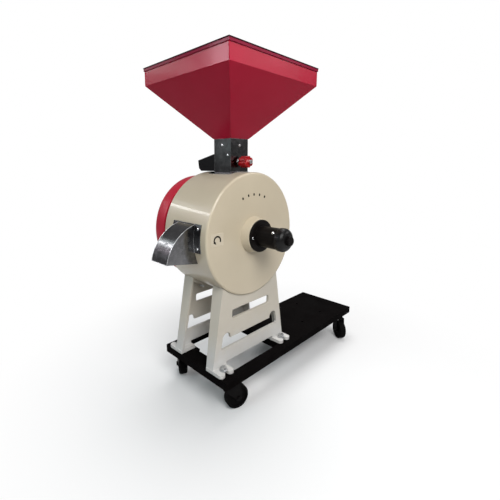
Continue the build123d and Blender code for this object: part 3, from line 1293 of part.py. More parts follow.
# Stands: a slotted panel, side flanges, a saddle under the drum and forked feet
with BuildPart() as front_stand:
    with BuildSketch(at_depth(stand_front + STAND_PANEL)):
        with BuildLine():
            Polyline(
                (-STAND_HALF_TOP, leg_top),
                (STAND_HALF_TOP, leg_top),
                (STAND_HALF_FOOT, base_top),
                (-STAND_HALF_FOOT, base_top),
                close=True,
            )
        make_face()
        with Locations((0, base_top)):
            Rectangle(2 * (foot_x - FOOT_WIDTH / 2), BAR_RISE, align=FROM_BELOW, mode=Mode.SUBTRACT)
        with Locations((0, upper_slot_middle)):
            RectangleRounded(UPPER_SLOT_LENGTH, UPPER_SLOT_HEIGHT, UPPER_SLOT_ROUND, mode=Mode.SUBTRACT)
    extrude(amount=STAND_PANEL)
    with BuildSketch(at_depth(stand_front + STAND_PANEL)):
        with BuildLine():
            Polyline(
                (-LOWER_SLOT_HALF, lower_slot_bottom),
                (LOWER_SLOT_HALF, lower_slot_bottom),
                (LOWER_SLOT_HALF - LOWER_SLOT_TAPER, lower_slot_top),
                (-LOWER_SLOT_HALF + LOWER_SLOT_TAPER, lower_slot_top),
                close=True,
            )
        make_face()
        fillet(vertices().group_by(Axis.Y)[0], LOWER_SLOT_ROUND)
        for side in (-1, 1):
            with Locations((side * ear_x, lower_slot_top + EAR_RISE)):
                Circle(EAR_RADIUS)
    extrude(amount=STAND_PANEL, mode=Mode.SUBTRACT)
    for side in (-1, 1):
        with BuildSketch(at_depth(stand_front + STAND_FLANGE_TOP_DEPTH)):
            with BuildLine():
                Polyline(
                    (side * STAND_HALF_TOP, leg_top),
                    (side * STAND_HALF_FOOT, base_top),
                    (side * (STAND_HALF_FOOT - STAND_FLANGE), base_top),
                    (side * (STAND_HALF_TOP - STAND_FLANGE), leg_top),
                    close=True,
                )
            make_face()
        extrude(amount=STAND_FLANGE_TOP_DEPTH)
    with BuildSketch(across(-STAND_HALF_FOOT)):
        with BuildLine():
            Polyline(
                (stand_front + STAND_FLANGE_FOOT_DEPTH, base_top),
                (stand_front + STAND_FLANGE_TOP_DEPTH, leg_top),
                (stand_front + 2 * STAND_FLANGE_TOP_DEPTH, leg_top),
                (stand_front + 2 * STAND_FLANGE_TOP_DEPTH, base_top),
                close=True,
            )
        make_face()
    extrude(amount=2 * STAND_HALF_FOOT, mode=Mode.SUBTRACT)
    with BuildSketch(at_depth(stand_front + STAND_FLANGE_TOP_DEPTH)):
        Circle(saddle_radius + STAND_SADDLE)
        with Locations((0, leg_top)):
            Rectangle(2 * STAND_HALF_TOP, drum_radius, align=(Align.CENTER, Align.MAX), mode=Mode.INTERSECT)
    extrude(amount=STAND_FLANGE_TOP_DEPTH)
    with BuildSketch(at_depth(stand_front + STAND_FLANGE_TOP_DEPTH)):
        Circle(saddle_radius)
    extrude(amount=STAND_FLANGE_TOP_DEPTH, mode=Mode.SUBTRACT)
    with BuildSketch(at_height(base_top)):
        for side in (-1, 1):
            with Locations((side * foot_x, stand_front - FOOT_REACH)):
                Rectangle(FOOT_WIDTH, FOOT_REACH + STAND_FLANGE_FOOT_DEPTH, align=FROM_BELOW)
                Rectangle(FOOT_SLOT_WIDTH, FOOT_REACH - FOOT_BOLT_REACH, align=FROM_BELOW, mode=Mode.SUBTRACT)
        fillet(vertices().group_by(Axis.Y)[0], FOOT_PRONG_ROUND)
        for side in (-1, 1):
            with Locations((side * foot_x, stand_front - FOOT_BOLT_REACH)):
                Circle(FOOT_SLOT_WIDTH / 2, mode=Mode.SUBTRACT)
    extrude(amount=FOOT_THICKNESS)
    for place in saddle_places[:2]:
        with BuildSketch(place):
            Circle(SADDLE_BOLT_RADIUS + SEAT)
        extrude(amount=-STAND_SADDLE - FREE_GAP, mode=Mode.SUBTRACT)
keep(front_stand, "front_stand")

with BuildPart() as rear_stand:
    mirror(front_stand.part, about=MIRROR)
keep(rear_stand, "rear_stand")

saddle_bolts = bolts(
    saddle_places, SADDLE_BOLT_HEAD, SADDLE_BOLT_HEAD_HEIGHT, SADDLE_BOLT_RADIUS, saddle_bolt_length
)
keep(saddle_bolts, "saddle_bolts")

foot_bolts = bolts(
    [at_height(washer_top, x, depth) for x, depth in foot_bolt_spots],
    FOOT_BOLT_HEAD,
    FOOT_BOLT_HEAD_HEIGHT,
    FOOT_BOLT_RADIUS,
    FOOT_WASHER_THICKNESS + FOOT_THICKNESS + FOOT_BOLT_GRIP,
)
keep(foot_bolts, "foot_bolts")

with BuildPart() as foot_washers:
    with BuildSketch(at_height(base_top + FOOT_THICKNESS)):
        with Locations(*foot_bolt_spots):
            Circle(FOOT_WASHER_RADIUS)
            Circle(FOOT_BOLT_RADIUS + SEAT, mode=Mode.SUBTRACT)
    extrude(amount=FOOT_WASHER_THICKNESS)
keep(foot_washers, "foot_washers")

# Base: a folded plate with a window under the mill, pads over the castors and holes for a motor
with BuildPart() as base_frame:
    with BuildSketch(at_height(base_bottom)):
        with BuildLine():
            Polyline(*base_outline, close=True)
        make_face()
        fillet(vertices(), BASE_CORNER_ROUND)
    extrude(amount=BASE_HEIGHT)
    with BuildSketch(at_height(base_bottom)):
        with BuildLine():
            Polyline(*base_outline, close=True)
        make_face()
        offset(amount=-BASE_SKIRT)
        with Locations(window_middle):
            Rectangle(window_size[0] + 2 * BASE_SKIRT, window_size[1] + 2 * BASE_SKIRT, mode=Mode.SUBTRACT)
        with Locations(*castor_spots.values()):
            Rectangle(CASTOR_PAD, CASTOR_PAD, mode=Mode.SUBTRACT)
        with Locations(*foot_bolt_spots):
            Circle(FOOT_BOSS_RADIUS, mode=Mode.SUBTRACT)
    extrude(amount=BASE_HEIGHT - BASE_PLATE, mode=Mode.SUBTRACT)
    with BuildSketch(at_height(base_bottom)):
        with Locations(window_middle):
            Rectangle(*window_size)
        with Locations(*castor_spots.values()):
            Rectangle(CASTOR_PAD, CASTOR_PAD, mode=Mode.SUBTRACT)
    extrude(amount=CASTOR_PAD_THICKNESS, mode=Mode.SUBTRACT)
    with BuildSketch(at_height(base_bottom + CASTOR_PAD_THICKNESS)):
        with Locations(window_middle):
            Rectangle(*window_size)
    extrude(amount=BASE_HEIGHT - CASTOR_PAD_THICKNESS, mode=Mode.SUBTRACT)
    with BuildSketch(at_height(base_top)):
        with Locations((MOTOR_X, MOTOR_DEPTH)):
            with GridLocations(MOTOR_SPACING_X, MOTOR_SPACING_Y, 2, 2):
                Circle(MOTOR_HOLE_RADIUS)
    extrude(amount=-BASE_PLATE, mode=Mode.SUBTRACT)
    with BuildSketch(at_height(base_top)):
        with Locations(*foot_bolt_spots):
            Circle(FOOT_BOLT_RADIUS + SEAT)
    extrude(amount=-FOOT_BOLT_GRIP - SEAT, mode=Mode.SUBTRACT)
    with BuildSketch(at_height(base_bottom)):
        with Locations(*castor_spots.values()):
            with GridLocations(CASTOR_BOLT_SPACING, CASTOR_BOLT_SPACING, 2, 2):
                Circle(CASTOR_BOLT_RADIUS + SEAT)
    extrude(amount=CASTOR_BOLT_GRIP + SEAT, mode=Mode.SUBTRACT)
keep(base_frame, "base_frame")

# Castors: plates with their kingpins, then a fork, an axle and a wheel each
with BuildPart() as castor_plates:
    with BuildSketch(at_height(base_bottom)):
        with Locations(*castor_spots.values()):
            RectangleRounded(CASTOR_PLATE, CASTOR_PLATE, CASTOR_PLATE_ROUND)
            with GridLocations(CASTOR_BOLT_SPACING, CASTOR_BOLT_SPACING, 2, 2):
                Circle(CASTOR_BOLT_RADIUS + SEAT, mode=Mode.SUBTRACT)
    extrude(amount=-CASTOR_PLATE_THICKNESS)
    with BuildSketch(at_height(plate_bottom)):
        with Locations(*castor_spots.values()):
            Circle(CASTOR_RACE_RADIUS)
    extrude(amount=-CASTOR_RACE_HEIGHT)
    with BuildSketch(at_height(race_bottom)):
        with Locations(*castor_spots.values()):
            Circle(CASTOR_PIN_RADIUS)
    extrude(amount=-FORK_CROWN - 2 * FORK_PLAY)
    with BuildSketch(at_height(crown_bottom - FORK_PLAY)):
        with Locations(*castor_spots.values()):
            Circle(CASTOR_PIN_HEAD_RADIUS)
    extrude(amount=-CASTOR_PIN_HEAD_HEIGHT)
keep(castor_plates, "castor_plates")

castor_bolt_spots = [
    (x + across_x * CASTOR_BOLT_SPACING / 2, depth + along_y * CASTOR_BOLT_SPACING / 2)
    for x, depth in castor_spots.values()
    for across_x in (-1, 1)
    for along_y in (-1, 1)
]
castor_bolts = bolts(
    [facing(x, depth, plate_bottom, (0, 0, -1)) for x, depth in castor_bolt_spots],
    CASTOR_BOLT_HEAD,
    CASTOR_BOLT_HEAD_HEIGHT,
    CASTOR_BOLT_RADIUS,
    CASTOR_PLATE_THICKNESS + CASTOR_BOLT_GRIP,
)
keep(castor_bolts, "castor_bolts")

for corner, (x, depth) in castor_spots.items():
    trail = (cos(radians(CASTOR_TRAIL_ANGLES[corner])), sin(radians(CASTOR_TRAIL_ANGLES[corner])), 0)
    pivot = at_height(axle_height, x, depth).origin
    beside = Plane(origin=pivot, x_dir=trail, z_dir=(trail[1], -trail[0], 0))
    hub = beside.from_local_coords(Vector(CASTOR_TRAIL, 0, 0))
    axle_line = Axis(hub, beside.z_dir)
    along_axle = Plane(origin=hub, x_dir=beside.z_dir, z_dir=(-trail[0], -trail[1], 0))

    with BuildPart() as fork:
        for start in (fork_gap / 2, -fork_gap / 2 - FORK_ARM):
            with BuildSketch(beside.offset(start)):
                with BuildLine():
                    Polyline(
                        (-FORK_CROWN_LEAD, crown_top),
                        (CASTOR_TRAIL + FORK_CROWN_TAIL, crown_top),
                        (CASTOR_TRAIL + FORK_EYE_RADIUS, 0),
                        (CASTOR_TRAIL - FORK_EYE_RADIUS, 0),
                        (-FORK_CROWN_LEAD, crown_top - 2 * FORK_CROWN),
                        close=True,
                    )
                make_face()
                with Locations((CASTOR_TRAIL, 0)):
                    Circle(FORK_EYE_RADIUS)
                    Circle(AXLE_RADIUS + SEAT, mode=Mode.SUBTRACT)
            extrude(amount=FORK_ARM)
        with BuildSketch(beside.offset(-fork_gap / 2)):
            with Locations((-FORK_CROWN_LEAD, crown_top)):
                Rectangle(
                    FORK_CROWN_LEAD + CASTOR_TRAIL + FORK_CROWN_TAIL, FORK_CROWN, align=(Align.MIN, Align.MAX)
                )
        extrude(amount=fork_gap)
        with BuildSketch(at_height(race_bottom, x, depth)):
            Circle(CASTOR_PIN_RADIUS + FREE_GAP)
        extrude(amount=-CASTOR_HEIGHT / 2, mode=Mode.SUBTRACT)
    keep(fork, f"castor_fork_{corner}")

    with BuildPart() as axle:
        with BuildSketch(beside.offset(-axle_half)):
            with Locations((CASTOR_TRAIL, 0)):
                Circle(AXLE_RADIUS)
        extrude(amount=2 * axle_half)
        for start in (axle_half, -axle_half - AXLE_HEAD_HEIGHT):
            with BuildSketch(beside.offset(start)):
                with Locations((CASTOR_TRAIL, 0)):
                    RegularPolygon(radius=AXLE_HEAD / 2, side_count=6, major_radius=False)
            extrude(amount=AXLE_HEAD_HEIGHT)
    keep(axle, f"castor_axle_{corner}")

    with BuildPart() as wheel:
        with BuildSketch(along_axle):
            with BuildLine():
                Polyline(
                    (-WHEEL_WIDTH / 2, AXLE_RADIUS + RUNNING_FIT),
                    (-WHEEL_WIDTH / 2, WHEEL_HUB_RADIUS),
                    (-WHEEL_WIDTH / 2 + WHEEL_DISH, WHEEL_HUB_RADIUS),
                    (-WHEEL_WIDTH / 2 + WHEEL_DISH, WHEEL_RADIUS - WHEEL_TREAD),
                    (-WHEEL_WIDTH / 2, WHEEL_RADIUS - WHEEL_TREAD),
                    (-WHEEL_WIDTH / 2, WHEEL_RADIUS),
                    (WHEEL_WIDTH / 2, WHEEL_RADIUS),
                    (WHEEL_WIDTH / 2, WHEEL_RADIUS - WHEEL_TREAD),
                    (WHEEL_WIDTH / 2 - WHEEL_DISH, WHEEL_RADIUS - WHEEL_TREAD),
                    (WHEEL_WIDTH / 2 - WHEEL_DISH, WHEEL_HUB_RADIUS),
                    (WHEEL_WIDTH / 2, WHEEL_HUB_RADIUS),
                    (WHEEL_WIDTH / 2, AXLE_RADIUS + RUNNING_FIT),
                    close=True,
                )
            make_face()
        revolve(axis=axle_line)
        tread_edges = wheel.edges().filter_by(GeomType.CIRCLE).group_by(SortBy.RADIUS)[-1]
        fillet(tread_edges, WHEEL_TREAD_ROUND)
    keep(wheel, f"castor_wheel_{corner}")
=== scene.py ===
"""Dresses the stone mill: a finish for every piece, its fine detail, the studio and the camera.

Lengths are in metres and turns in degrees.
"""

import json
import logging
import math
from dataclasses import dataclass, replace
from enum import Enum
from typing import Mapping, Sequence

import bmesh
import bpy
from mathutils import Matrix, Vector


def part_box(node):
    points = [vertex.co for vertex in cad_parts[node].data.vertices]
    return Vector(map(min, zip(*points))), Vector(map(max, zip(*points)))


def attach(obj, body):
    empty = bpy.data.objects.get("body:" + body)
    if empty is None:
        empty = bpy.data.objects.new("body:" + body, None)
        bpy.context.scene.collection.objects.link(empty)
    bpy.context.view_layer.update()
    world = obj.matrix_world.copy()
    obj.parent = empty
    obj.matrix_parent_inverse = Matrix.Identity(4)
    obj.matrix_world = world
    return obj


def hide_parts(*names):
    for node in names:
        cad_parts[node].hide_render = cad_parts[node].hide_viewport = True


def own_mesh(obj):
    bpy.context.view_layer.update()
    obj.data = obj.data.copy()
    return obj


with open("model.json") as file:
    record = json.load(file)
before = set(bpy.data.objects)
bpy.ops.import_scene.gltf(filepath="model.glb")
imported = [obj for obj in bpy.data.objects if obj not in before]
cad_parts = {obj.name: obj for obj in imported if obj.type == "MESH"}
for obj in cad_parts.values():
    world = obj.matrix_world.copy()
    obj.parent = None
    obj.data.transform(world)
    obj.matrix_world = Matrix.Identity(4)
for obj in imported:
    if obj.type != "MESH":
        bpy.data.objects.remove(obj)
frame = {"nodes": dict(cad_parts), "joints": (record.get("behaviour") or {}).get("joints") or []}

LOG = logging.getLogger("stone_mill")
RIGHT = Vector((1, 0, 0))
FRONT = Vector((0, -1, 0))
UP = Vector((0, 0, 1))

Pair = tuple[float, float]
Triple = tuple[float, float, float]
Colour = Triple
Shape = bmesh.types.BMesh
Socket = bpy.types.NodeSocket
Value = Socket | float | Sequence[float]


class Slot(Enum):
    """The record's material slots, by name."""

    CREAM = "cream_paint"
    RED = "red_paint"
    BLACK = "black_paint"
    SHEET = "galvanised_sheet"
    STEEL = "bright_steel"


@dataclass(frozen=True)
class Clouds:
    """A cloudy pattern: the width of a cloud, the count of finer layers and how it comes in.

    It shows where its noise runs from start to full. Ratios scale it on each axis.
    """

    size: float
    detail: float
    start: float
    full: float
    ratios: Triple | None = None


@dataclass(frozen=True)
class Bumps:
    """One layer of fine relief: the width of a bump, the count of finer layers and the depth."""

    size: float
    detail: float
    depth: float


class Relief(Enum):
    """The fine relief of a painted surface, as layers of bumps from coarse to fine."""

    SPRAYED = (Bumps(size=0.12, detail=2.0, depth=0.0006), Bumps(size=0.0032, detail=2.0, depth=0.00004))
    CAST = (Bumps(size=0.022, detail=3.0, depth=0.00032), Bumps(size=0.0026, detail=3.0, depth=0.00006))
    POWDER = (Bumps(size=0.0014, detail=2.0, depth=0.00010),)


class Grain(Enum):
    """The way that the marks of machining run on bright metal, as their scale on each axis."""

    TURNED = (0.06, 1.0, 0.06)
    PLAIN = (1.0, 1.0, 1.0)


def joint_facts(name: str) -> dict[str, object]:
    """What the record says about one joint."""
    return next(one for one in frame["joints"] if one["name"] == name)


def shaft_point() -> Vector:
    """The middle of the drum's front face, on the shaft's line."""
    return Vector(joint_facts("rotor_spin")["pos_m"])


def at(x: float, depth: float, height: float) -> Vector:
    """A place to the right of, behind and above the middle of the drum's front face."""
    return shaft_point() + Vector((x, depth, height))


class NodeGraph:
    """A node tree that starts empty, with the sums that the finishes, the floor and the sky share."""

    def __init__(self, tree: bpy.types.NodeTree) -> None:
        """Take over a tree and clear it."""
        self.tree = tree
        self.tree.nodes.clear()

    def wire(self, source: Value, target: Socket) -> None:
        """Link a socket to an input, or set the input to a plain value.

        Args:
            source: A socket, a number or a row of numbers.
            target: The input that takes it.
        """
        if isinstance(source, Socket):
            self.tree.links.new(source, target)
        else:
            target.default_value = source

    def node(
        self, kind: str, feeds: Mapping[str | int, Value] | None = None, **settings: object
    ) -> bpy.types.Node:
        """Add one node.

        Args:
            kind: The node's type name.
            feeds: What goes into its inputs, by their names or places.
            settings: Properties to set on the node.

        Returns:
            The new node.
        """
        made = self.tree.nodes.new(kind)
        for key, value in settings.items():
            setattr(made, key, value)
        for label, source in (feeds or {}).items():
            self.wire(source, made.inputs[label])
        return made

    def span(
        self, value: Socket, low: float, high: float, to_low: float = 0.0, to_high: float = 1.0
    ) -> Socket:
        """Map a range of values smoothly to another range, held at its ends."""
        feeds = {"Value": value, "From Min": low, "From Max": high, "To Min": to_low, "To Max": to_high}
        return self.node("ShaderNodeMapRange", feeds, interpolation_type="SMOOTHSTEP").outputs["Result"]

    def maths(self, operation: str, first: Value, second: Value) -> Socket:
        """One sum of two numbers."""
        return self.node("ShaderNodeMath", {0: first, 1: second}, operation=operation).outputs["Value"]

    def dot(self, first: Value, second: Value) -> Socket:
        """How far one direction runs along another."""
        feeds = {0: first, 1: second}
        return self.node("ShaderNodeVectorMath", feeds, operation="DOT_PRODUCT").outputs["Value"]

    def height(self, place: Socket) -> Socket:
        """The height of a place or a direction."""
        return self.node("ShaderNodeSeparateXYZ", {0: place}).outputs["Z"]

    def mix(self, share: Socket, first: Socket, second: Socket) -> Socket:
        """Mix two shaders, where a share of 1 shows the second alone."""
        return self.node("ShaderNodeMixShader", {0: share, 1: first, 2: second}).outputs["Shader"]

    def shown(self, share: Socket) -> Socket:
        """How much of the white backdrop a ray shows.

        Args:
            share: How much of it shows in gloss and through glass.

        Returns:
            1 for the camera, the share in gloss and through glass, and 0 for other rays.
        """
        path = self.node("ShaderNodeLightPath").outputs
        mirrored = self.maths("MAXIMUM", path["Is Glossy Ray"], path["Is Transmission Ray"])
        return self.maths("MAXIMUM", path["Is Camera Ray"], self.maths("MULTIPLY", mirrored, share))


class SurfaceGraph(NodeGraph):
    """The node tree of one material, with the patterns that the finishes share."""

    BEVEL_SAMPLES = 4
    EDGE_START = 0.02
    EDGE_FULL = 0.2

    def __init__(self, name: str) -> None:
        """Start a material with a principled shader and object coordinates.

        Args:
            name: The material's name.
        """
        self.material = bpy.data.materials.new(name)
        self.material.use_nodes = True
        super().__init__(self.material.node_tree)
        self.shader = self.node("ShaderNodeBsdfPrincipled")
        self.output = self.node("ShaderNodeOutputMaterial", {"Surface": self.shader.outputs["BSDF"]})
        self.place = self.node("ShaderNodeTexCoord").outputs["Object"]

    def constant(self, **values: float) -> None:
        """Set plain numbers on the shader's own sockets, named with underscores for spaces."""
        for key, value in values.items():
            self.shader.inputs[key.replace("_", " ")].default_value = value

    def noise(self, pattern: Clouds | Bumps, ratios: Triple | None = None) -> Socket:
        """Cloudy noise.

        Args:
            pattern: What gives the noise its size and detail.
            ratios: Scale on each axis, where the noise is drawn out.

        Returns:
            A value from 0 to 1.
        """
        place = self.place
        if ratios:
            place = self.node("ShaderNodeMapping", {"Vector": place, "Scale": ratios}).outputs["Vector"]
        feeds = {"Vector": place, "Scale": 1.0 / pattern.size, "Detail": pattern.detail}
        return self.node("ShaderNodeTexNoise", feeds).outputs["Fac"]

    def clouds(self, pattern: Clouds, low: float = 0.0, high: float = 1.0) -> Socket:
        """A cloudy pattern, from a low value outside the clouds to a high one inside them."""
        noise = self.noise(pattern, pattern.ratios)
        return self.span(noise, pattern.start, pattern.full, low, high)

    def cells(self, size: float) -> tuple[bpy.types.Node, Socket]:
        """A cell pattern.

        Args:
            size: The width of one cell.

        Returns:
            A node with a random Red, Green and Blue for each cell, and the distance from its middle.
        """
        texture = self.node("ShaderNodeTexVoronoi", {"Vector": self.place, "Scale": 1.0 / size})
        tones = self.node("ShaderNodeSeparateColor", {"Color": texture.outputs["Color"]})
        return tones, texture.outputs["Distance"]

    def blend(self, share: Socket, first: Colour | Socket, second: Colour | Socket) -> Socket:
        """Mix two colours.

        Args:
            share: How much of the second colour shows, from 0 to 1.
            first: A colour or a colour socket.
            second: A colour or a colour socket.

        Returns:
            The mixed colour.
        """
        mixer = self.node("ShaderNodeMix", {"Factor": share}, data_type="RGBA")
        for label, colour in (("A", first), ("B", second)):
            target = next(one for one in mixer.inputs if one.name == label and one.type == "RGBA")
            self.wire((*colour, 1.0) if isinstance(colour, tuple) else colour, target)
        return next(one for one in mixer.outputs if one.type == "RGBA")

    def bump(self, height: Socket, depth: float, normal: Socket | None = None) -> Socket:
        """Relief from a height pattern.

        Args:
            height: The pattern, from 0 to 1.
            depth: How far 1 stands above 0.
            normal: The normal that it lies on, if not the surface's own.

        Returns:
            The normal with the relief.
        """
        feeds = {"Height": height, "Distance": depth, "Strength": 1.0}
        if normal is not None:
            feeds["Normal"] = normal
        return self.node("ShaderNodeBump", feeds).outputs["Normal"]

    def relief(self, layers: Sequence[Bumps], normal: Socket | None = None) -> Socket:
        """Layers of bumps, each laid over the one before.

        Args:
            layers: The layers, from the lowest up.
            normal: The normal that they lie on, if not the surface's own.

        Returns:
            The normal with all the layers.
        """
        for layer in layers:
            normal = self.bump(self.noise(layer), layer.depth, normal)
        return normal

    def rounded(self, radius: float) -> Socket:
        """The surface's normal with its sharp edges eased to a radius."""
        eased = self.node("ShaderNodeBevel", {"Radius": radius}, samples=self.BEVEL_SAMPLES)
        return eased.outputs["Normal"]

    def edges(self, eased: Socket) -> Socket:
        """Where the edges of a surface are.

        Args:
            eased: The surface's normal with eased edges.

        Returns:
            1 where the eased normal leaves the true one, and 0 elsewhere.
        """
        true_normal = self.node("ShaderNodeNewGeometry").outputs["Normal"]
        apart = self.maths("SUBTRACT", 1.0, self.dot(eased, true_normal))
        return self.span(apart, self.EDGE_START, self.EDGE_FULL)

    def close(self, colour: Socket, roughness: Socket, normal: Socket) -> None:
        """Wire the varying inputs of the shader."""
        for label, source in (("Base Color", colour), ("Roughness", roughness), ("Normal", normal)):
            self.wire(source, self.shader.inputs[label])


def limits(middle: float, shares: Pair) -> list[float]:
    """The low and the high limit of a value, from their shares of it."""
    return [middle * share for share in shares]


@dataclass(frozen=True)
class Finish:
    """A surface finish that can be put on any number of pieces."""

    name: str

    def material(self) -> bpy.types.Material:
        """The finish as a node material, made once.

        Returns:
            The material, with patterns in the pieces' own space.
        """
        known = bpy.data.materials.get(self.name)
        if known:
            return known
        graph = SurfaceGraph(self.name)
        self.lay(graph)
        return graph.material

    def lay(self, graph: SurfaceGraph) -> None:
        """Wire the finish's own nodes."""
        raise NotImplementedError


@dataclass(frozen=True)
class Enamel(Finish):
    """Paint on metal, with its sprayed, cast or powder relief, mottling and rubbed edges."""

    colour: Colour
    shade: Colour
    bare: Colour
    roughness: float
    specular: float
    relief: Relief
    wear: float
    coat: float = 0.0
    coat_roughness: float = 0.3
    edge_round: float = 0.0015
    mottling: Clouds = Clouds(size=0.16, detail=5.0, start=0.3, full=0.75)
    smears: Clouds = Clouds(size=0.05, detail=6.0, start=0.25, full=0.8, ratios=(1.0, 1.0, 0.25))
    rough_spread: Pair = (0.84, 1.16)
    nicks: Clouds = Clouds(size=0.009, detail=6.0, start=0.52, full=0.72)
    nick_reach: float = 0.12
    # Height above which painted shade darkens the paint to the rim's colour.
    painted_rim_shade_from: float | None = None
    painted_rim_shade: Colour = (0.0, 0.0, 0.0)
    rim_roughness: float = 0.6
    dust_from: float | None = None
    dust_reach: float = 0.15
    dust_colour: Colour = (0.62, 0.62, 0.62)
    dust_share: float = 0.75
    dust_edge: Clouds = Clouds(size=0.03, detail=6.0, start=0.2, full=0.8)
    dust_wander: float = 0.02

    def lay(self, graph: SurfaceGraph) -> None:
        """Wire the paint, its mottling, the painted shade on its rim, the dust at its foot and its rubbed
        edges.

        Args:
            graph: The finish's node tree.
        """
        colour = graph.blend(graph.clouds(self.mottling), self.colour, self.shade)
        rough = graph.clouds(self.smears, *limits(self.roughness, self.rough_spread))
        # Painted shade: above a height the paint turns to the darker rim colour and grows rougher.
        if self.painted_rim_shade_from is not None:
            rim = graph.maths("GREATER_THAN", graph.height(graph.place), self.painted_rim_shade_from)
            colour = graph.blend(rim, colour, self.painted_rim_shade)
            rough = graph.maths("MAXIMUM", rough, graph.maths("MULTIPLY", rim, self.rim_roughness))
        if self.dust_from is not None:
            wander = graph.clouds(self.dust_edge, -self.dust_wander, self.dust_wander)
            patchy = graph.maths("ADD", graph.height(graph.place), wander)
            dust_top = self.dust_from + self.dust_reach
            dusty = graph.span(patchy, self.dust_from, dust_top, self.dust_share, 0.0)
            colour = graph.blend(dusty, colour, self.dust_colour)
        eased = graph.rounded(self.edge_round)
        nicks = replace(self.nicks, start=self.nicks.start - self.nick_reach * self.wear)
        rubbed = graph.maths("MULTIPLY", graph.edges(eased), graph.clouds(nicks, 0.0, self.wear))
        colour = graph.blend(rubbed, colour, self.bare)
        graph.constant(Coat_Weight=self.coat, Coat_Roughness=self.coat_roughness)
        graph.constant(Specular_IOR_Level=self.specular)
        graph.close(colour, rough, graph.relief(self.relief.value, eased))


@dataclass(frozen=True)
class Galvanised(Finish):
    """Zinc-dipped sheet: spangles, run marks, a painted highlight along its edges, and dents."""

    light: Colour
    dark: Colour
    stain: Colour
    # The colour of the painted highlight that lightens the edges.
    edge: Colour
    spangle: float
    roughness: float
    rough_spread: Pair = (0.8, 1.25)
    spangle_share: float = 0.45
    spangle_depth: float = 0.00003
    frost: Clouds = Clouds(size=0.05, detail=6.0, start=0.4, full=1.1)
    runs: Clouds = Clouds(size=0.02, detail=5.0, start=0.56, full=0.74, ratios=(1.0, 1.0, 0.08))
    run_share: float = 0.25
    edge_round: float = 0.0012
    dents: Bumps = Bumps(size=0.06, detail=2.0, depth=0.0006)

    def lay(self, graph: SurfaceGraph) -> None:
        """Wire the spangles, the run marks, the painted highlight on the edges and the dents.

        Args:
            graph: The finish's node tree.
        """
        tones, distance = graph.cells(self.spangle)
        spangles = graph.maths("MULTIPLY", tones.outputs["Red"], self.spangle_share)
        frost = graph.maths("ADD", spangles, graph.noise(self.frost))
        colour = graph.blend(graph.span(frost, self.frost.start, self.frost.full), self.dark, self.light)
        colour = graph.blend(graph.clouds(self.runs, 0.0, self.run_share), colour, self.stain)
        rough = graph.span(tones.outputs["Green"], 0.0, 1.0, *limits(self.roughness, self.rough_spread))
        eased = graph.rounded(self.edge_round)
        # Painted highlight: the edges are lightened towards the edge colour.
        colour = graph.blend(graph.edges(eased), colour, self.edge)
        graph.constant(Metallic=1.0)
        dented = graph.relief([self.dents], eased)
        graph.close(colour, rough, graph.bump(distance, self.spangle_depth, dented))


@dataclass(frozen=True)
class BrightMetal(Finish):
    """Machined or plated metal, with fine marks that run one way."""

    light: Colour
    dark: Colour
    roughness: float
    grain: Grain
    rough_spread: Pair = (0.75, 1.4)
    uneven: Pair = (0.4, 1.6)
    marks: Bumps = Bumps(size=0.0012, detail=5.0, depth=0.00002)
    stains: Clouds = Clouds(size=0.012, detail=6.0, start=0.35, full=0.8)
    edge_round: float = 0.0005

    def lay(self, graph: SurfaceGraph) -> None:
        """Wire the tool marks and the stains, which both roughen the metal.

        Args:
            graph: The finish's node tree.
        """
        marks = graph.noise(self.marks, self.grain.value)
        stains = graph.clouds(self.stains)
        colour = graph.blend(stains, self.light, self.dark)
        both = graph.maths("ADD", marks, stains)
        rough = graph.span(both, *self.uneven, *limits(self.roughness, self.rough_spread))
        graph.constant(Metallic=1.0)
        graph.close(colour, rough, graph.bump(marks, self.marks.depth, graph.rounded(self.edge_round)))


@dataclass(frozen=True)
class Moulded(Finish):
    """Moulded plastic, rubber or print, with its grain and scuffs."""

    colour: Colour
    scuff: Colour
    roughness: float
    specular: float
    grain: float
    scuffed: float
    rough_spread: Pair = (0.85, 1.2)
    scuffs: Clouds = Clouds(size=0.018, detail=7.0, start=0.5, full=0.8)
    smears: Clouds = Clouds(size=0.011, detail=5.0, start=0.25, full=0.8)
    grain_detail: float = 3.0
    grain_depth: float = 0.00007
    edge_round: float = 0.0008

    def lay(self, graph: SurfaceGraph) -> None:
        """Wire the grain and the scuffs.

        Args:
            graph: The finish's node tree.
        """
        colour = graph.blend(graph.clouds(self.scuffs, 0.0, self.scuffed), self.colour, self.scuff)
        rough = graph.clouds(self.smears, *limits(self.roughness, self.rough_spread))
        graph.constant(Specular_IOR_Level=self.specular)
        grain = Bumps(self.grain, self.grain_detail, self.grain_depth)
        graph.close(colour, rough, graph.relief([grain], graph.rounded(self.edge_round)))


@dataclass(frozen=True)
class Millstone(Finish):
    """Bonded grit: pale binder, dark and light grains, and a rough face."""

    binder: Colour
    dark_grain: Colour
    light_grain: Colour
    grain: float
    dark_from: Pair = (0.68, 0.72)
    light_from: Pair = (0.74, 0.78)
    smears: Clouds = Clouds(size=0.02, detail=5.0, start=0.2, full=0.8)
    roughness: Pair = (0.82, 0.97)
    specular: float = 0.25
    pits: Bumps = Bumps(size=0.004, detail=6.0, depth=0.0009)
    grain_depth: float = 0.0004

    def lay(self, graph: SurfaceGraph) -> None:
        """Wire the grains and the pits.

        Args:
            graph: The finish's node tree.
        """
        tones, distance = graph.cells(self.grain)
        dark = graph.span(tones.outputs["Red"], *self.dark_from)
        light = graph.span(tones.outputs["Blue"], *self.light_from)
        colour = graph.blend(light, graph.blend(dark, self.binder, self.dark_grain), self.light_grain)
        rough = graph.clouds(self.smears, *self.roughness)
        graph.constant(Specular_IOR_Level=self.specular)
        graph.close(colour, rough, graph.bump(distance, self.grain_depth, graph.relief([self.pits])))


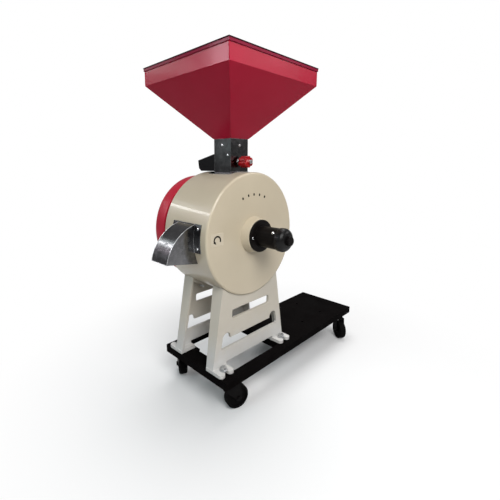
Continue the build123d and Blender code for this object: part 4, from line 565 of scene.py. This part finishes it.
CREAM_CASTING = Enamel(
    "cream_casting_enamel",
    colour=(0.545, 0.470, 0.348), shade=(0.515, 0.444, 0.326), bare=(0.30, 0.25, 0.18),
    roughness=0.36, specular=0.3, relief=Relief.SPRAYED, wear=0.22,
    coat=0.5, coat_roughness=0.07, edge_round=0.0018,
)
CREAM_STAND = Enamel(
    "cream_stand_enamel",
    colour=(0.575, 0.530, 0.452), shade=(0.540, 0.497, 0.422), bare=(0.28, 0.25, 0.20),
    roughness=0.44, specular=0.28, relief=Relief.CAST, wear=0.3,
    coat=0.05, coat_roughness=0.2, edge_round=0.0022,
)
CRIMSON_SHEET = Enamel(
    "crimson_sheet_enamel",
    colour=(0.385, 0.0080, 0.032), shade=(0.350, 0.0066, 0.027), bare=(0.16, 0.006, 0.012),
    roughness=0.26, specular=0.06, relief=Relief.SPRAYED, wear=0.18,
    coat=0.05, coat_roughness=0.08,
    # The rim colour is painted shade along the hopper's lip.
    rough_spread=(0.96, 1.04), painted_rim_shade=(0.205, 0.0060, 0.0290),
)
CRIMSON_CASTING = Enamel(
    "crimson_pulley_enamel",
    colour=(0.480, 0.018, 0.042), shade=(0.440, 0.014, 0.034), bare=(0.20, 0.012, 0.016),
    roughness=0.38, specular=0.12, relief=Relief.CAST, wear=0.3,
    coat=0.05, coat_roughness=0.15,
)
BLACK_BASE = Enamel(
    "black_base_powder",
    colour=(0.0032, 0.0026, 0.0026), shade=(0.0044, 0.0037, 0.0037), bare=(0.028, 0.025, 0.023),
    roughness=0.82, specular=0.015, relief=Relief.POWDER, wear=0.35,
    edge_round=0.0018,
)
BLACK_MACHINED = Enamel(
    "black_adjuster_enamel",
    colour=(0.0046, 0.0036, 0.0035), shade=(0.0062, 0.0050, 0.0049), bare=(0.050, 0.045, 0.042),
    roughness=0.42, specular=0.06, relief=Relief.CAST, wear=0.3,
)
BLACK_POCKET = Enamel(
    "black_pocket_paint",
    colour=(0.0046, 0.0050, 0.0055), shade=(0.0070, 0.0074, 0.0079), bare=(0.05, 0.05, 0.05),
    roughness=0.55, specular=0.06, relief=Relief.SPRAYED, wear=0.25,
)
CASTOR_STEEL = Enamel(
    "black_castor_steel",
    colour=(0.0040, 0.0035, 0.0035), shade=(0.0058, 0.0052, 0.0052), bare=(0.044, 0.040, 0.038),
    roughness=0.5, specular=0.05, relief=Relief.SPRAYED, wear=0.45,
    edge_round=0.0008,
)
GALVANISED_SHEET = Galvanised(
    "spangled_zinc_sheet",
    light=(0.188, 0.187, 0.193), dark=(0.131, 0.130, 0.135),
    # The edge colour is a painted highlight along the sheet's edges.
    stain=(0.100, 0.097, 0.093), edge=(0.52, 0.53, 0.54),
    spangle=0.011, roughness=0.2,
)
# Painted shade: a darker copy of the same zinc sheet, for the neck and its gate and chute.
PAINTED_SHADE_SHEET = replace(
    GALVANISED_SHEET,
    name="zinc_sheet_painted_shade",
    light=(0.112, 0.112, 0.114),
    dark=(0.074, 0.074, 0.076),
    roughness=0.18,
)
TURNED_STEEL = BrightMetal(
    "turned_steel",
    light=(0.62, 0.61, 0.60), dark=(0.36, 0.355, 0.35),
    roughness=0.3, grain=Grain.TURNED,
)
PLATED_STEEL = BrightMetal(
    "zinc_plated_steel",
    light=(0.60, 0.61, 0.62), dark=(0.38, 0.385, 0.39),
    roughness=0.32, grain=Grain.PLAIN,
)
# Painted highlight: zinc seams far lighter than the sheet they fold from, standing in for glints along the
# spout's edges.
ZINC_SEAM_PAINTED_HIGHLIGHT = BrightMetal(
    "zinc_seam_painted_highlight",
    light=(0.64, 0.65, 0.66), dark=(0.48, 0.49, 0.50),
    roughness=0.42, grain=Grain.PLAIN,
)
SPRING_STEEL = BrightMetal(
    "blued_spring_steel",
    light=(0.12, 0.13, 0.17), dark=(0.06, 0.06, 0.08),
    roughness=0.35, grain=Grain.TURNED,
)
CHROME = BrightMetal(
    "bright_chrome",
    light=(0.82, 0.83, 0.84), dark=(0.68, 0.69, 0.70),
    roughness=0.12, grain=Grain.PLAIN,
)
DARK_IRON = BrightMetal(
    "bare_cast_iron",
    light=(0.20, 0.195, 0.19), dark=(0.11, 0.105, 0.10),
    roughness=0.55, grain=Grain.PLAIN,
)
RED_KNOB = Moulded(
    "red_knob_plastic",
    colour=(0.31, 0.005, 0.008), scuff=(0.37, 0.022, 0.025),
    roughness=0.26, specular=0.20, grain=0.0016, scuffed=0.25,
)
BLACK_GRIP = Moulded(
    "black_grip_plastic",
    colour=(0.0046, 0.0042, 0.0042), scuff=(0.012, 0.011, 0.010),
    roughness=0.34, specular=0.20, grain=0.0012, scuffed=0.35,
)
RIM_RUBBER = Moulded(
    "dark_rim_rubber",
    colour=(0.026, 0.005, 0.008), scuff=(0.034, 0.010, 0.013),
    roughness=0.80, specular=0.02, grain=0.0018, scuffed=0.35,
)
TREAD_RUBBER = Moulded(
    "black_tread_rubber",
    colour=(0.0034, 0.0030, 0.0030), scuff=(0.009, 0.008, 0.008),
    roughness=0.7, specular=0.04, grain=0.0016, scuffed=0.4,
)
PRINT_BLACK = Moulded(
    "black_print",
    colour=(0.010, 0.008, 0.007), scuff=(0.030, 0.026, 0.022),
    roughness=0.5, specular=0.1, grain=0.0012, scuffed=0.4,
)
PLATE_CREAM = Moulded(
    "cream_plate_print",
    colour=(0.570, 0.500, 0.385), scuff=(0.50, 0.43, 0.33),
    roughness=0.4, specular=0.3, grain=0.0020, scuffed=0.4,
)
EMERY_STONE = Millstone(
    "emery_stone",
    binder=(0.36, 0.335, 0.30), dark_grain=(0.075, 0.07, 0.066), light_grain=(0.60, 0.58, 0.54),
    grain=0.0032,
)


def dress(finish: Finish, *nodes: str) -> None:
    """Put a finish on CAD nodes.

    Args:
        finish: The finish to show.
        nodes: Names of CAD nodes.
    """
    material = finish.material()
    for name in nodes:
        piece = frame["nodes"][name]
        if not piece.material_slots:
            piece.data.materials.append(material)
        for one in piece.material_slots:
            one.material = material
        LOG.info("%s wears %s", name, finish.name)


def link_mesh(name: str, shape: Shape, material: bpy.types.Material) -> bpy.types.Object:
    """Turn a shape into an object of the scene.

    Args:
        name: The object's name.
        shape: Its mesh, in the mill's frame, which is freed.
        material: The material that it wears.

    Returns:
        The new object.
    """
    mesh = bpy.data.meshes.new(name)
    shape.to_mesh(mesh)
    shape.free()
    mesh.materials.append(material)
    made = bpy.data.objects.new(name, mesh)
    bpy.context.scene.collection.objects.link(made)
    return made


def add_piece(name: str, shape: Shape, finish: Finish, body: str) -> bpy.types.Object:
    """Turn a finished shape into a piece that rides on a body.

    Args:
        name: The piece's name.
        shape: Its mesh, in the mill's frame, which is freed.
        finish: The finish that it wears.
        body: The CAD body that it moves with.

    Returns:
        The new object.
    """
    bmesh.ops.recalc_face_normals(shape, faces=shape.faces)
    piece = link_mesh(name, shape, finish.material())
    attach(piece, body)
    LOG.info("%s rides on %s with %d faces", name, body, len(piece.data.polygons))
    return piece


def smooth(shape: Shape) -> None:
    """Shade every face of a shape smoothly."""
    for face in shape.faces:
        face.smooth = True


def even(first: float, last: float, count: int) -> list[float]:
    """A count of values spread evenly from first to last."""
    return [first + (last - first) * index / (count - 1) for index in range(count)]


def arc_point(
    middle: Vector, radius: float, turn: float, across: Vector = RIGHT, up: Vector = UP
) -> Vector:
    """A point of an arc that starts across from its middle and turns up."""
    angle = math.radians(turn)
    return middle + across * (radius * math.cos(angle)) + up * (radius * math.sin(angle))


def rounded_rectangle(width: float, height: float, radius: float, steps: int = 6) -> list[Pair]:
    """The outline of a rectangle with rounded corners, about its middle.

    Args:
        width: Its full width.
        height: Its full height.
        radius: The radius of its corners.
        steps: Points on each corner.

    Returns:
        Its points in order, to the right and up.
    """
    half_width = width / 2 - radius
    half_height = height / 2 - radius
    points = []
    for across, up, start in ((1, 1, 0), (-1, 1, 90), (-1, -1, 180), (1, -1, 270)):
        for turn in even(start, start + 90, steps):
            angle = math.radians(turn)
            x = across * half_width + radius * math.cos(angle)
            points.append((x, up * half_height + radius * math.sin(angle)))
    return points


def add_skin(shape: Shape, rings: Sequence[Sequence[Vector]]) -> None:
    """Skin a row of rings into one closed form with flat ends.

    Args:
        shape: The mesh that takes the form.
        rings: Rings of points, with the same count in each.
    """
    rows = [[shape.verts.new(point) for point in ring] for ring in rings]
    for lower, upper in zip(rows, rows[1:]):
        for index, corner in enumerate(lower):
            after = (index + 1) % len(lower)
            shape.faces.new((corner, lower[after], upper[after], upper[index]))
    shape.faces.new(rows[0][::-1])
    shape.faces.new(rows[-1])


def add_slab(
    shape: Shape, outline: Sequence[Vector], rise: Vector, ease: float, wall: float = 0.7
) -> None:
    """Raise a flat outline into a thin slab with an eased top edge.

    Args:
        shape: The mesh that takes the slab.
        outline: The corners of its foot, in order.
        rise: How far and which way its top stands off.
        ease: How far the top edge is drawn in.
        wall: The share of the rise below the eased edge.
    """
    middle = sum(outline, Vector()) / len(outline)
    shoulder = [corner + rise * wall for corner in outline]
    top = [corner + rise + (middle - corner).normalized() * ease for corner in outline]
    add_skin(shape, [outline, shoulder, top])


@dataclass(frozen=True)
class Bead:
    """A round bead with domed ends, for welds and folded edges.

    Dome and tip are an end's reach and width as shares of the radius. No bead runs along aside.
    """

    radius: float
    sides: int = 10
    dome: float = 0.6
    tip: float = 0.25
    aside: Triple = (0.31, 0.77, 0.56)

    def lay(self, shape: Shape, path: Sequence[Vector]) -> None:
        """Lay the bead along a path.

        Args:
            shape: The mesh that takes the bead.
            path: The points of the bead's middle line.
        """
        reach = self.radius * self.dome
        first = path[0] - (path[1] - path[0]).normalized() * reach
        last = path[-1] + (path[-1] - path[-2]).normalized() * reach
        points = [first, *path, last]
        shares = [self.tip, *[1.0] * len(path), self.tip]
        turns = [360 * step / self.sides for step in range(self.sides)]
        rings = []
        for index, (point, share) in enumerate(zip(points, shares)):
            before = points[max(index - 1, 0)]
            after = points[min(index + 1, len(points) - 1)]
            along = (after - before).normalized()
            across = along.cross(Vector(self.aside)).normalized()
            up = along.cross(across)
            rings.append([arc_point(point, self.radius * share, turn, across, up) for turn in turns])
        add_skin(shape, rings)


class SubAssembly:
    """A group of pieces that belong together on the mill."""

    def build(self) -> None:
        """Make the pieces that the scene adds to the group, which may be none."""

    def dress(self) -> None:
        """Put a finish on each of the group's CAD nodes."""
        raise NotImplementedError


@dataclass
class Hopper(SubAssembly):
    """The red hopper: its sheet, the dark edging on its rim and its screws."""

    half: float = 0.200
    band: float = 0.053
    cone: float = 0.1715
    throat: float = 0.0405
    middle_depth: float = 0.1075
    lip: float = 0.008
    seam: float = 0.0011
    band_points: int = 5
    cone_shares: Pair = (0.04, 0.99)
    cone_points: int = 24

    def build(self) -> None:
        """Lay the welded seams down the corners of the band and the cone."""
        bead = Bead(self.seam)
        shape = bmesh.new()
        for across in (-1, 1):
            for along in (-1, 1):
                bead.lay(shape, self.corner(across, along))
        smooth(shape)
        add_piece("hopper_seams", shape, CRIMSON_SHEET, "root")

    def corner(self, across: int, along: int) -> list[Vector]:
        """The line of one outer corner, from under the lip to the throat.

        Args:
            across: -1 for the left corners, 1 for the right ones.
            along: -1 for the front corners, 1 for the rear ones.

        Returns:
            Points from the top down.
        """
        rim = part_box("hopper")[1].z - shaft_point().z
        bend = rim - self.band
        levels = [(self.half, height) for height in even(rim - self.lip, bend, self.band_points)]
        for share in even(*self.cone_shares, self.cone_points):
            levels.append((self.half + (self.throat - self.half) * share, bend - self.cone * share))
        return [at(across * half, self.middle_depth + along * half, height) for half, height in levels]

    def dress(self) -> None:
        """Paint the sheet with painted shade along its lip, darken the edging and plate the screws."""
        lip_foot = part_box("hopper")[1].z - self.lip
        # The hopper's lip gets painted shade, a darker maroon above the lip's foot.
        dress(replace(CRIMSON_SHEET, name="crimson_hopper_enamel_with_painted_rim_shade", painted_rim_shade_from=lip_foot), "hopper")
        dress(RIM_RUBBER, "rim_edging")
        dress(CHROME, "hopper_screws")


class Feed(SubAssembly):
    """The neck with the gate that meters the grain, its screw, knob and pocket."""

    def dress(self) -> None:
        """Dress the sheet neck with painted shade, the black pocket, the gate and its red knob."""
        # The neck, gate and chute wear the darker copy of the zinc sheet, which is painted shade.
        dress(PAINTED_SHADE_SHEET, "neck", "feed_gate", "feed_chute")
        dress(CHROME, "neck_rivets", "gate_knob_nut")
        dress(BLACK_POCKET, "gate_pocket")
        dress(PLATED_STEEL, "gate_rails", "gate_bush")
        dress(TURNED_STEEL, "gate_screw")
        dress(RED_KNOB, "gate_knob")


@dataclass
class Drum(SubAssembly):
    """The cast drum, its rear cover and bearings, and the plain plate and marks on its face."""

    plate_x: float = -0.1625
    plate_height: float = 0.0065
    plate_width: float = 0.050
    plate_rise: float = 0.040
    plate_corner: float = 0.004
    plate_wall: float = 0.00054
    plate_stand: float = 0.0009
    plate_ease: float = 0.0005
    plate_border: float = 0.0015
    field_inset: float = 0.0020
    field_stand: float = 0.000648
    arrow_drop: float = 0.002
    arrow_radius: float = 0.0125
    arrow_width: float = 0.0050
    arrow_head: float = 0.0105
    arrow_turns: Pair = (-25.0, 200.0)
    arrow_points: int = 28
    arrow_ease: float = 0.00012
    print_stand: float = 0.0003
    mark_circle: float = 0.133
    mark_turns: tuple[float, ...] = (113.0, 101.3, 90.0, 78.3, 66.8)
    mark_width: float = 0.0064
    mark_length: float = 0.0086
    mark_corner: float = 0.002688
    mark_ease: float = 0.00015

    def build(self) -> None:
        """Make the plate with its turning arrow, and the five marks above the boss."""
        self.build_plate()
        self.build_arrow()
        self.build_marks()

    def build_plate(self) -> None:
        """A thin plate with rounded corners, a raised border and a sunk field."""
        profile = (
            (0.0, 0.0),
            (0.0, self.plate_wall),
            (self.plate_ease, self.plate_stand),
            (self.plate_border, self.plate_stand),
            (self.field_inset, self.field_stand),
        )
        rings = []
        for inset, stand in profile:
            width = self.plate_width - 2 * inset
            rise = self.plate_rise - 2 * inset
            outline = rounded_rectangle(width, rise, self.plate_corner - inset)
            rings.append([at(self.plate_x + x, -stand, self.plate_height + z) for x, z in outline])
        shape = bmesh.new()
        add_skin(shape, rings)
        add_piece("face_plate", shape, PLATE_CREAM, "root")

    def build_arrow(self) -> None:
        """A curved arrow on the plate that shows which way the stone turns."""
        middle = at(self.plate_x, -self.field_stand, self.plate_height - self.arrow_drop)
        start, end = self.arrow_turns
        outer = self.arrow_radius + self.arrow_width / 2
        inner = self.arrow_radius - self.arrow_width / 2
        lift = FRONT * self.print_stand
        band = []
        for turn in even(start, end, self.arrow_points):
            far = arc_point(middle, outer, turn)
            near = arc_point(middle, inner, turn)
            band.append((far, far + lift, near + lift, near))
        tip_turn = end + math.degrees(self.arrow_head / self.arrow_radius)
        head = [
            arc_point(middle, self.arrow_radius + self.arrow_width, end),
            arc_point(middle, self.arrow_radius, tip_turn),
            arc_point(middle, self.arrow_radius - self.arrow_width, end),
        ]
        shape = bmesh.new()
        add_skin(shape, band)
        add_slab(shape, head, lift, self.arrow_ease)
        add_piece("turning_arrow", shape, PRINT_BLACK, "root")

    def build_marks(self) -> None:
        """Five plain marks in an arc, each pointing at the shaft."""
        outline = rounded_rectangle(self.mark_width, self.mark_length, self.mark_corner)
        lift = FRONT * self.print_stand
        shape = bmesh.new()
        for turn in self.mark_turns:
            outwards = arc_point(Vector(), 1.0, turn)
            aside = arc_point(Vector(), 1.0, turn + 90)
            middle = shaft_point() + outwards * self.mark_circle
            add_slab(shape, [middle + aside * x + outwards * z for x, z in outline], lift, self.mark_ease)
        add_piece("face_marks", shape, PRINT_BLACK, "root")

    def dress(self) -> None:
        """Dress the castings, the bearings and their fasteners."""
        dress(CREAM_CASTING, "drum", "rear_cover", "bearing_cap")
        dress(PLATED_STEEL, "rear_cover_bolts", "bearing_cap_screws")
        dress(TURNED_STEEL, "rear_bearings")


@dataclass
class ReturnSprings(SubAssembly):
    """The stack of disc springs behind the shaft's collar, which flattens as the stones close."""

    node: str = "return_springs"
    joint: str = "stone_gap"
    weld: float = 1e-7
    crease: float = 30.0

    def build(self) -> None:
        """Stand a copy of the rigid stack in its place, with its sharp creases kept, and hide the rigid
        one.
        """
        low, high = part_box(self.node)
        shape = bmesh.new()
        shape.from_mesh(frame["nodes"][self.node].data)
        bmesh.ops.remove_doubles(shape, verts=shape.verts, dist=self.weld)
        smooth(shape)
        for edge in shape.edges:
            edge.smooth = edge.calc_face_angle(0.0) < math.radians(self.crease)
        stack = add_piece("disc_springs", shape, SPRING_STEEL, "root")
        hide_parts(self.node)
        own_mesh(stack)

    def dress(self) -> None:
        """Give the rigid stack the same finish."""
        dress(SPRING_STEEL, self.node)


class StonePair(SubAssembly):
    """The two stones, what carries them and the shaft that turns one of them."""

    def dress(self) -> None:
        """Dress the stones, their plates and the shaft."""
        dress(EMERY_STONE, "runner_stone", "fixed_stone")
        dress(DARK_IRON, "runner_plate", "bed_plate", "bed_posts")
        dress(TURNED_STEEL, "shaft")
        dress(PLATED_STEEL, "runner_nut")


class Adjuster(SubAssembly):
    """The black adjuster that sets the gap between the stones."""

    def dress(self) -> None:
        """Dress the housing, the grip and the bright small pieces."""
        dress(BLACK_MACHINED, "adjuster_housing", "spindle_nut")
        dress(BLACK_GRIP, "adjuster_knob")
        dress(CHROME, "adjuster_screws", "grease_nipple")
        dress(TURNED_STEEL, "quill", "front_bearing", "thrust_ball")


class Drive(SubAssembly):
    """The pulley at the back with its key and nut."""

    def dress(self) -> None:
        """Dress the pulley and what holds it."""
        dress(CRIMSON_CASTING, "pulley")
        dress(TURNED_STEEL, "pulley_key")
        dress(PLATED_STEEL, "pulley_nut")


@dataclass
class Spout(SubAssembly):
    """The sheet spout at the left, with folded seams along its cheeks and mouth."""

    arc_x: float = -0.172
    arc_height: float = -0.080
    arc_radius: float = 0.134
    cheek_turns: Pair = (103.0, 169.2)
    cheek_points: int = 30
    lip_shares: Pair = (0.02, 0.98)
    lip_points: int = 12
    depth: float = 0.097
    width: float = 0.080
    seam: float = 0.0008
    seam_sides: int = 8

    def build(self) -> None:
        """Lay the seams along both cheeks and across the lip."""
        front = self.cheek(-1)
        rear = self.cheek(1)
        lip = [front[-1].lerp(rear[-1], share) for share in even(*self.lip_shares, self.lip_points)]
        bead = Bead(self.seam, self.seam_sides)
        shape = bmesh.new()
        for path in (front, rear, lip):
            bead.lay(shape, path)
        smooth(shape)
        # The seams are real folds; their light zinc is a painted highlight.
        add_piece("spout_seams", shape, ZINC_SEAM_PAINTED_HIGHLIGHT, "root")

    def cheek(self, side: int) -> list[Vector]:
        """The line of one cheek's curved edge.

        Args:
            side: -1 for the front cheek, 1 for the rear one.

        Returns:
            Points from the drum to the lip.
        """
        middle = at(self.arc_x, self.depth + side * self.width / 2, self.arc_height)
        turns = even(*self.cheek_turns, self.cheek_points)
        return [arc_point(middle, self.arc_radius, turn) for turn in turns]

    def dress(self) -> None:
        """Dress the sheet and its screws."""
        dress(GALVANISED_SHEET, "spout")
        dress(CHROME, "spout_screws")


class Stands(SubAssembly):
    """The two cast stands and what bolts them to the drum and the base."""

    def dress(self) -> None:
        """Dress the castings and their fasteners."""
        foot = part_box("front_stand")[0].z
        dusty = replace(CREAM_STAND, name="dusty_stand_enamel", dust_from=foot)
        dress(dusty, "front_stand", "rear_stand")
        dress(PLATED_STEEL, "saddle_bolts", "foot_bolts", "foot_washers")


class Base(SubAssembly):
    """The black base that carries the stands."""

    def dress(self) -> None:
        """Dress the folded frame."""
        dress(BLACK_BASE, "base_frame")


@dataclass
class Castors(SubAssembly):
    """The four swivel castors under the base."""

    corners: tuple[str, ...] = ("front_left", "front_right", "rear_left", "rear_right")

    def dress(self) -> None:
        """Dress the plates and bolts, then each castor's fork, axle and wheel."""
        dress(CASTOR_STEEL, "castor_plates", "castor_bolts")
        for corner in self.corners:
            dress(CASTOR_STEEL, f"castor_fork_{corner}", f"castor_axle_{corner}")
            dress(TREAD_RUBBER, f"castor_wheel_{corner}")


@dataclass(frozen=True)
class Lamp:
    """One soft rectangular lamp that looks at the mill."""

    name: str
    place: Triple
    size: Pair
    power: float
    tint: Colour = (1.0, 1.0, 1.0)

    def light(self, target: Vector, glints_only: bool) -> None:
        """Hang the lamp and turn it to a target.

        Args:
            target: The place that it looks at.
            glints_only: Whether it shows in gloss alone and lights nothing.
        """
        data = bpy.data.lights.new(self.name, "AREA")
        data.shape = "RECTANGLE"
        data.size, data.size_y = self.size
        data.energy = self.power
        data.color = self.tint
        lamp = bpy.data.objects.new(self.name, data)
        lamp.visible_camera = False
        lamp.visible_diffuse = not glints_only
        lamp.location = at(*self.place)
        lamp.rotation_euler = (target - lamp.location).to_track_quat("-Z", "Y").to_euler()
        bpy.context.scene.collection.objects.link(lamp)
        LOG.info("%s lights the mill", self.name)


@dataclass
class Studio:
    """A pale floor, soft lamps and the camera at the photo's view."""

    floor_half: float = 14.0
    floor_colour: Colour = (0.80, 0.80, 0.80)
    floor_roughness: float = 0.9
    floor_specular: float = 0.1
    near_bounce: Colour = (0.05, 0.046, 0.041)
    far_bounce: Colour = (0.62, 0.62, 0.62)
    bounce_fade: Pair = (0.35, 1.2)
    white_fade: Pair = (0.25, 1.05)
    room_strength: float = 0.22
    white_strength: float = 1.0
    backdrop_spread: Pair = (0.45, 0.85)
    backdrop_top: Pair = (0.05, 0.30)
    softboxes: tuple[Lamp, ...] = (
        Lamp("key_softbox", place=(-1.05, -1.95, 1.75), size=(1.5, 1.5), power=76.0),
        Lamp("top_softbox", place=(1.1, 0.6, 3.1), size=(2.4, 2.4), power=80.0),
        Lamp("side_softbox", place=(2.9, -2.2, 1.95), size=(2.2, 0.9), power=16.0),
        Lamp("cool_fill", place=(-3.0, 0.7, 1.7), size=(1.6, 1.6), power=16.0, tint=(0.62, 0.90, 1.0)),
    )
    glints: tuple[Lamp, ...] = (
        Lamp("window_strip", place=(-1.35, 2.40, 1.20), size=(1.1, 0.14), power=4.5),
        Lamp("window_glow", place=(-1.28, 2.42, 1.22), size=(0.55, 0.55), power=1.2, tint=(0.86, 1.0, 1.0)),
        Lamp("neck_sheen", place=(-2.14, 2.18, 0.48), size=(0.3, 0.3), power=0.28, tint=(0.82, 1.0, 1.0)),
        Lamp("band_glare", place=(-2.27, 1.90, 1.34), size=(0.6, 0.6), power=36.0, tint=(1.0, 0.88, 0.97)),
        Lamp("right_sheen", place=(2.20, -2.10, 1.25), size=(0.9, 0.9), power=8.0, tint=(1.0, 0.95, 0.98)),
    )
    lamp_target: Triple = (0.0, 0.1, 0.0)
    eye: Triple = (-0.81071, -0.72673, 0.22624)
    right: Triple = (0.70660, -0.70762, 0.00063)
    up: Triple = (0.11368, 0.11439, 0.98691)
    sensor_millimetres: float = 36.0
    picture_pixels: float = 500.0
    focal_pixels: float = 333.99
    centre_pixels: Pair = (236.13, 219.99)

    def build(self) -> None:
        """Lay the floor, fill the sky, hang the lamps and set the camera."""
        self.build_floor()
        self.build_sky()
        for lamps, glints_only in ((self.softboxes, False), (self.glints, True)):
            for lamp in lamps:
                lamp.light(at(*self.lamp_target), glints_only)
        self.build_camera()
        bpy.context.scene.view_settings.view_transform = "Standard"

    def build_floor(self) -> None:
        """One level sheet on which the castors stand."""
        half = self.floor_half
        corners = ((-half, -half), (half, -half), (half, half), (-half, half))
        shape = bmesh.new()
        shape.faces.new([shape.verts.new((x, y, 0.0)) for x, y in corners])
        floor = link_mesh("studio_floor", shape, self.floor_material())

    def floor_material(self) -> bpy.types.Material:
        """A pale floor that keeps the mill's shadow and throws little light up close to it.

        Returns:
            The floor's material, which fades to white further off where the camera sees it.
        """
        graph = SurfaceGraph("studio_floor")
        length = graph.node("ShaderNodeVectorMath", {0: graph.place}, operation="LENGTH")
        distance = length.outputs["Value"]
        bounce = graph.blend(graph.span(distance, *self.bounce_fade), self.near_bounce, self.far_bounce)
        diffuse = graph.node("ShaderNodeLightPath").outputs["Is Diffuse Ray"]
        colour = graph.blend(diffuse, self.floor_colour, bounce)
        graph.wire(colour, graph.shader.inputs["Base Color"])
        graph.constant(Roughness=self.floor_roughness, Specular_IOR_Level=self.floor_specular)
        ahead = graph.maths("DIVIDE", graph.dot(graph.place, self.level_ahead()), distance)
        shown = graph.shown(graph.span(ahead, *self.backdrop_spread))
        share = graph.maths("MULTIPLY", graph.span(distance, *self.white_fade), shown)
        white = graph.node("ShaderNodeEmission", {"Strength": self.white_strength}).outputs["Emission"]
        faded = graph.mix(share, graph.shader.outputs["BSDF"], white)
        graph.wire(faded, graph.output.inputs["Surface"])
        return graph.material

    def build_sky(self) -> None:
        """White behind the mill, also where metal mirrors it, and a plain room all round."""
        world = bpy.data.worlds.new("studio_sky")
        bpy.context.scene.world = world
        world.use_nodes = True
        sky = NodeGraph(world.node_tree)
        room, white = (
            sky.node("ShaderNodeBackground", {"Color": (1.0, 1.0, 1.0, 1.0), "Strength": strength})
            for strength in (self.room_strength, self.white_strength)
        )
        shown = sky.shown(self.backdrop_share(sky))
        seen = sky.mix(shown, room.outputs["Background"], white.outputs["Background"])
        sky.node("ShaderNodeOutputWorld", {"Surface": seen})

    def level_ahead(self) -> Vector:
        """The level direction from the camera to what lies behind the mill."""
        ahead = Vector(self.up).cross(Vector(self.right))
        return Vector((ahead.x, ahead.y, 0.0)).normalized()

    def backdrop_share(self, sky: NodeGraph) -> Socket:
        """How much of a ray meets the white backdrop behind the mill, as the camera sees it.

        Args:
            sky: The world's node tree.

        Returns:
            1 in the backdrop's middle, 0 beside and above it.
        """
        ray = sky.node("ShaderNodeTexCoord").outputs["Generated"]
        behind = sky.span(sky.dot(ray, self.level_ahead()), *self.backdrop_spread)
        above = sky.span(sky.height(ray), *self.backdrop_top)
        return sky.maths("MULTIPLY", behind, sky.maths("SUBTRACT", 1.0, above))

    def build_camera(self) -> None:
        """A camera at the photo's place, turned, framed and shifted as the photo is."""
        data = bpy.data.cameras.new("photo_camera")
        data.sensor_width = self.sensor_millimetres
        data.lens = data.sensor_width * self.focal_pixels / self.picture_pixels
        data.shift_x = (self.picture_pixels / 2 - self.centre_pixels[0]) / self.picture_pixels
        data.shift_y = (self.centre_pixels[1] - self.picture_pixels / 2) / self.picture_pixels
        camera = bpy.data.objects.new("photo_camera", data)
        right = Vector(self.right).normalized()
        up = Vector(self.up).normalized()
        turn = Matrix((right, up, right.cross(up))).transposed().to_4x4()
        camera.matrix_world = Matrix.Translation(at(*self.eye)) @ turn
        bpy.context.scene.collection.objects.link(camera)
        bpy.context.scene.camera = camera


def main() -> None:
    """Build and dress every sub-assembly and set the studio."""
    logging.basicConfig(level=logging.INFO, format="%(name)s: %(message)s")
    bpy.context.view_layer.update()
    groups = (
        Hopper(), Feed(), Drum(), ReturnSprings(), StonePair(), Adjuster(),
        Drive(), Spout(), Stands(), Base(), Castors(),
    )
    for group in groups:
        group.build()
        group.dress()
    Studio().build()


if __name__ == "__main__":
    main()
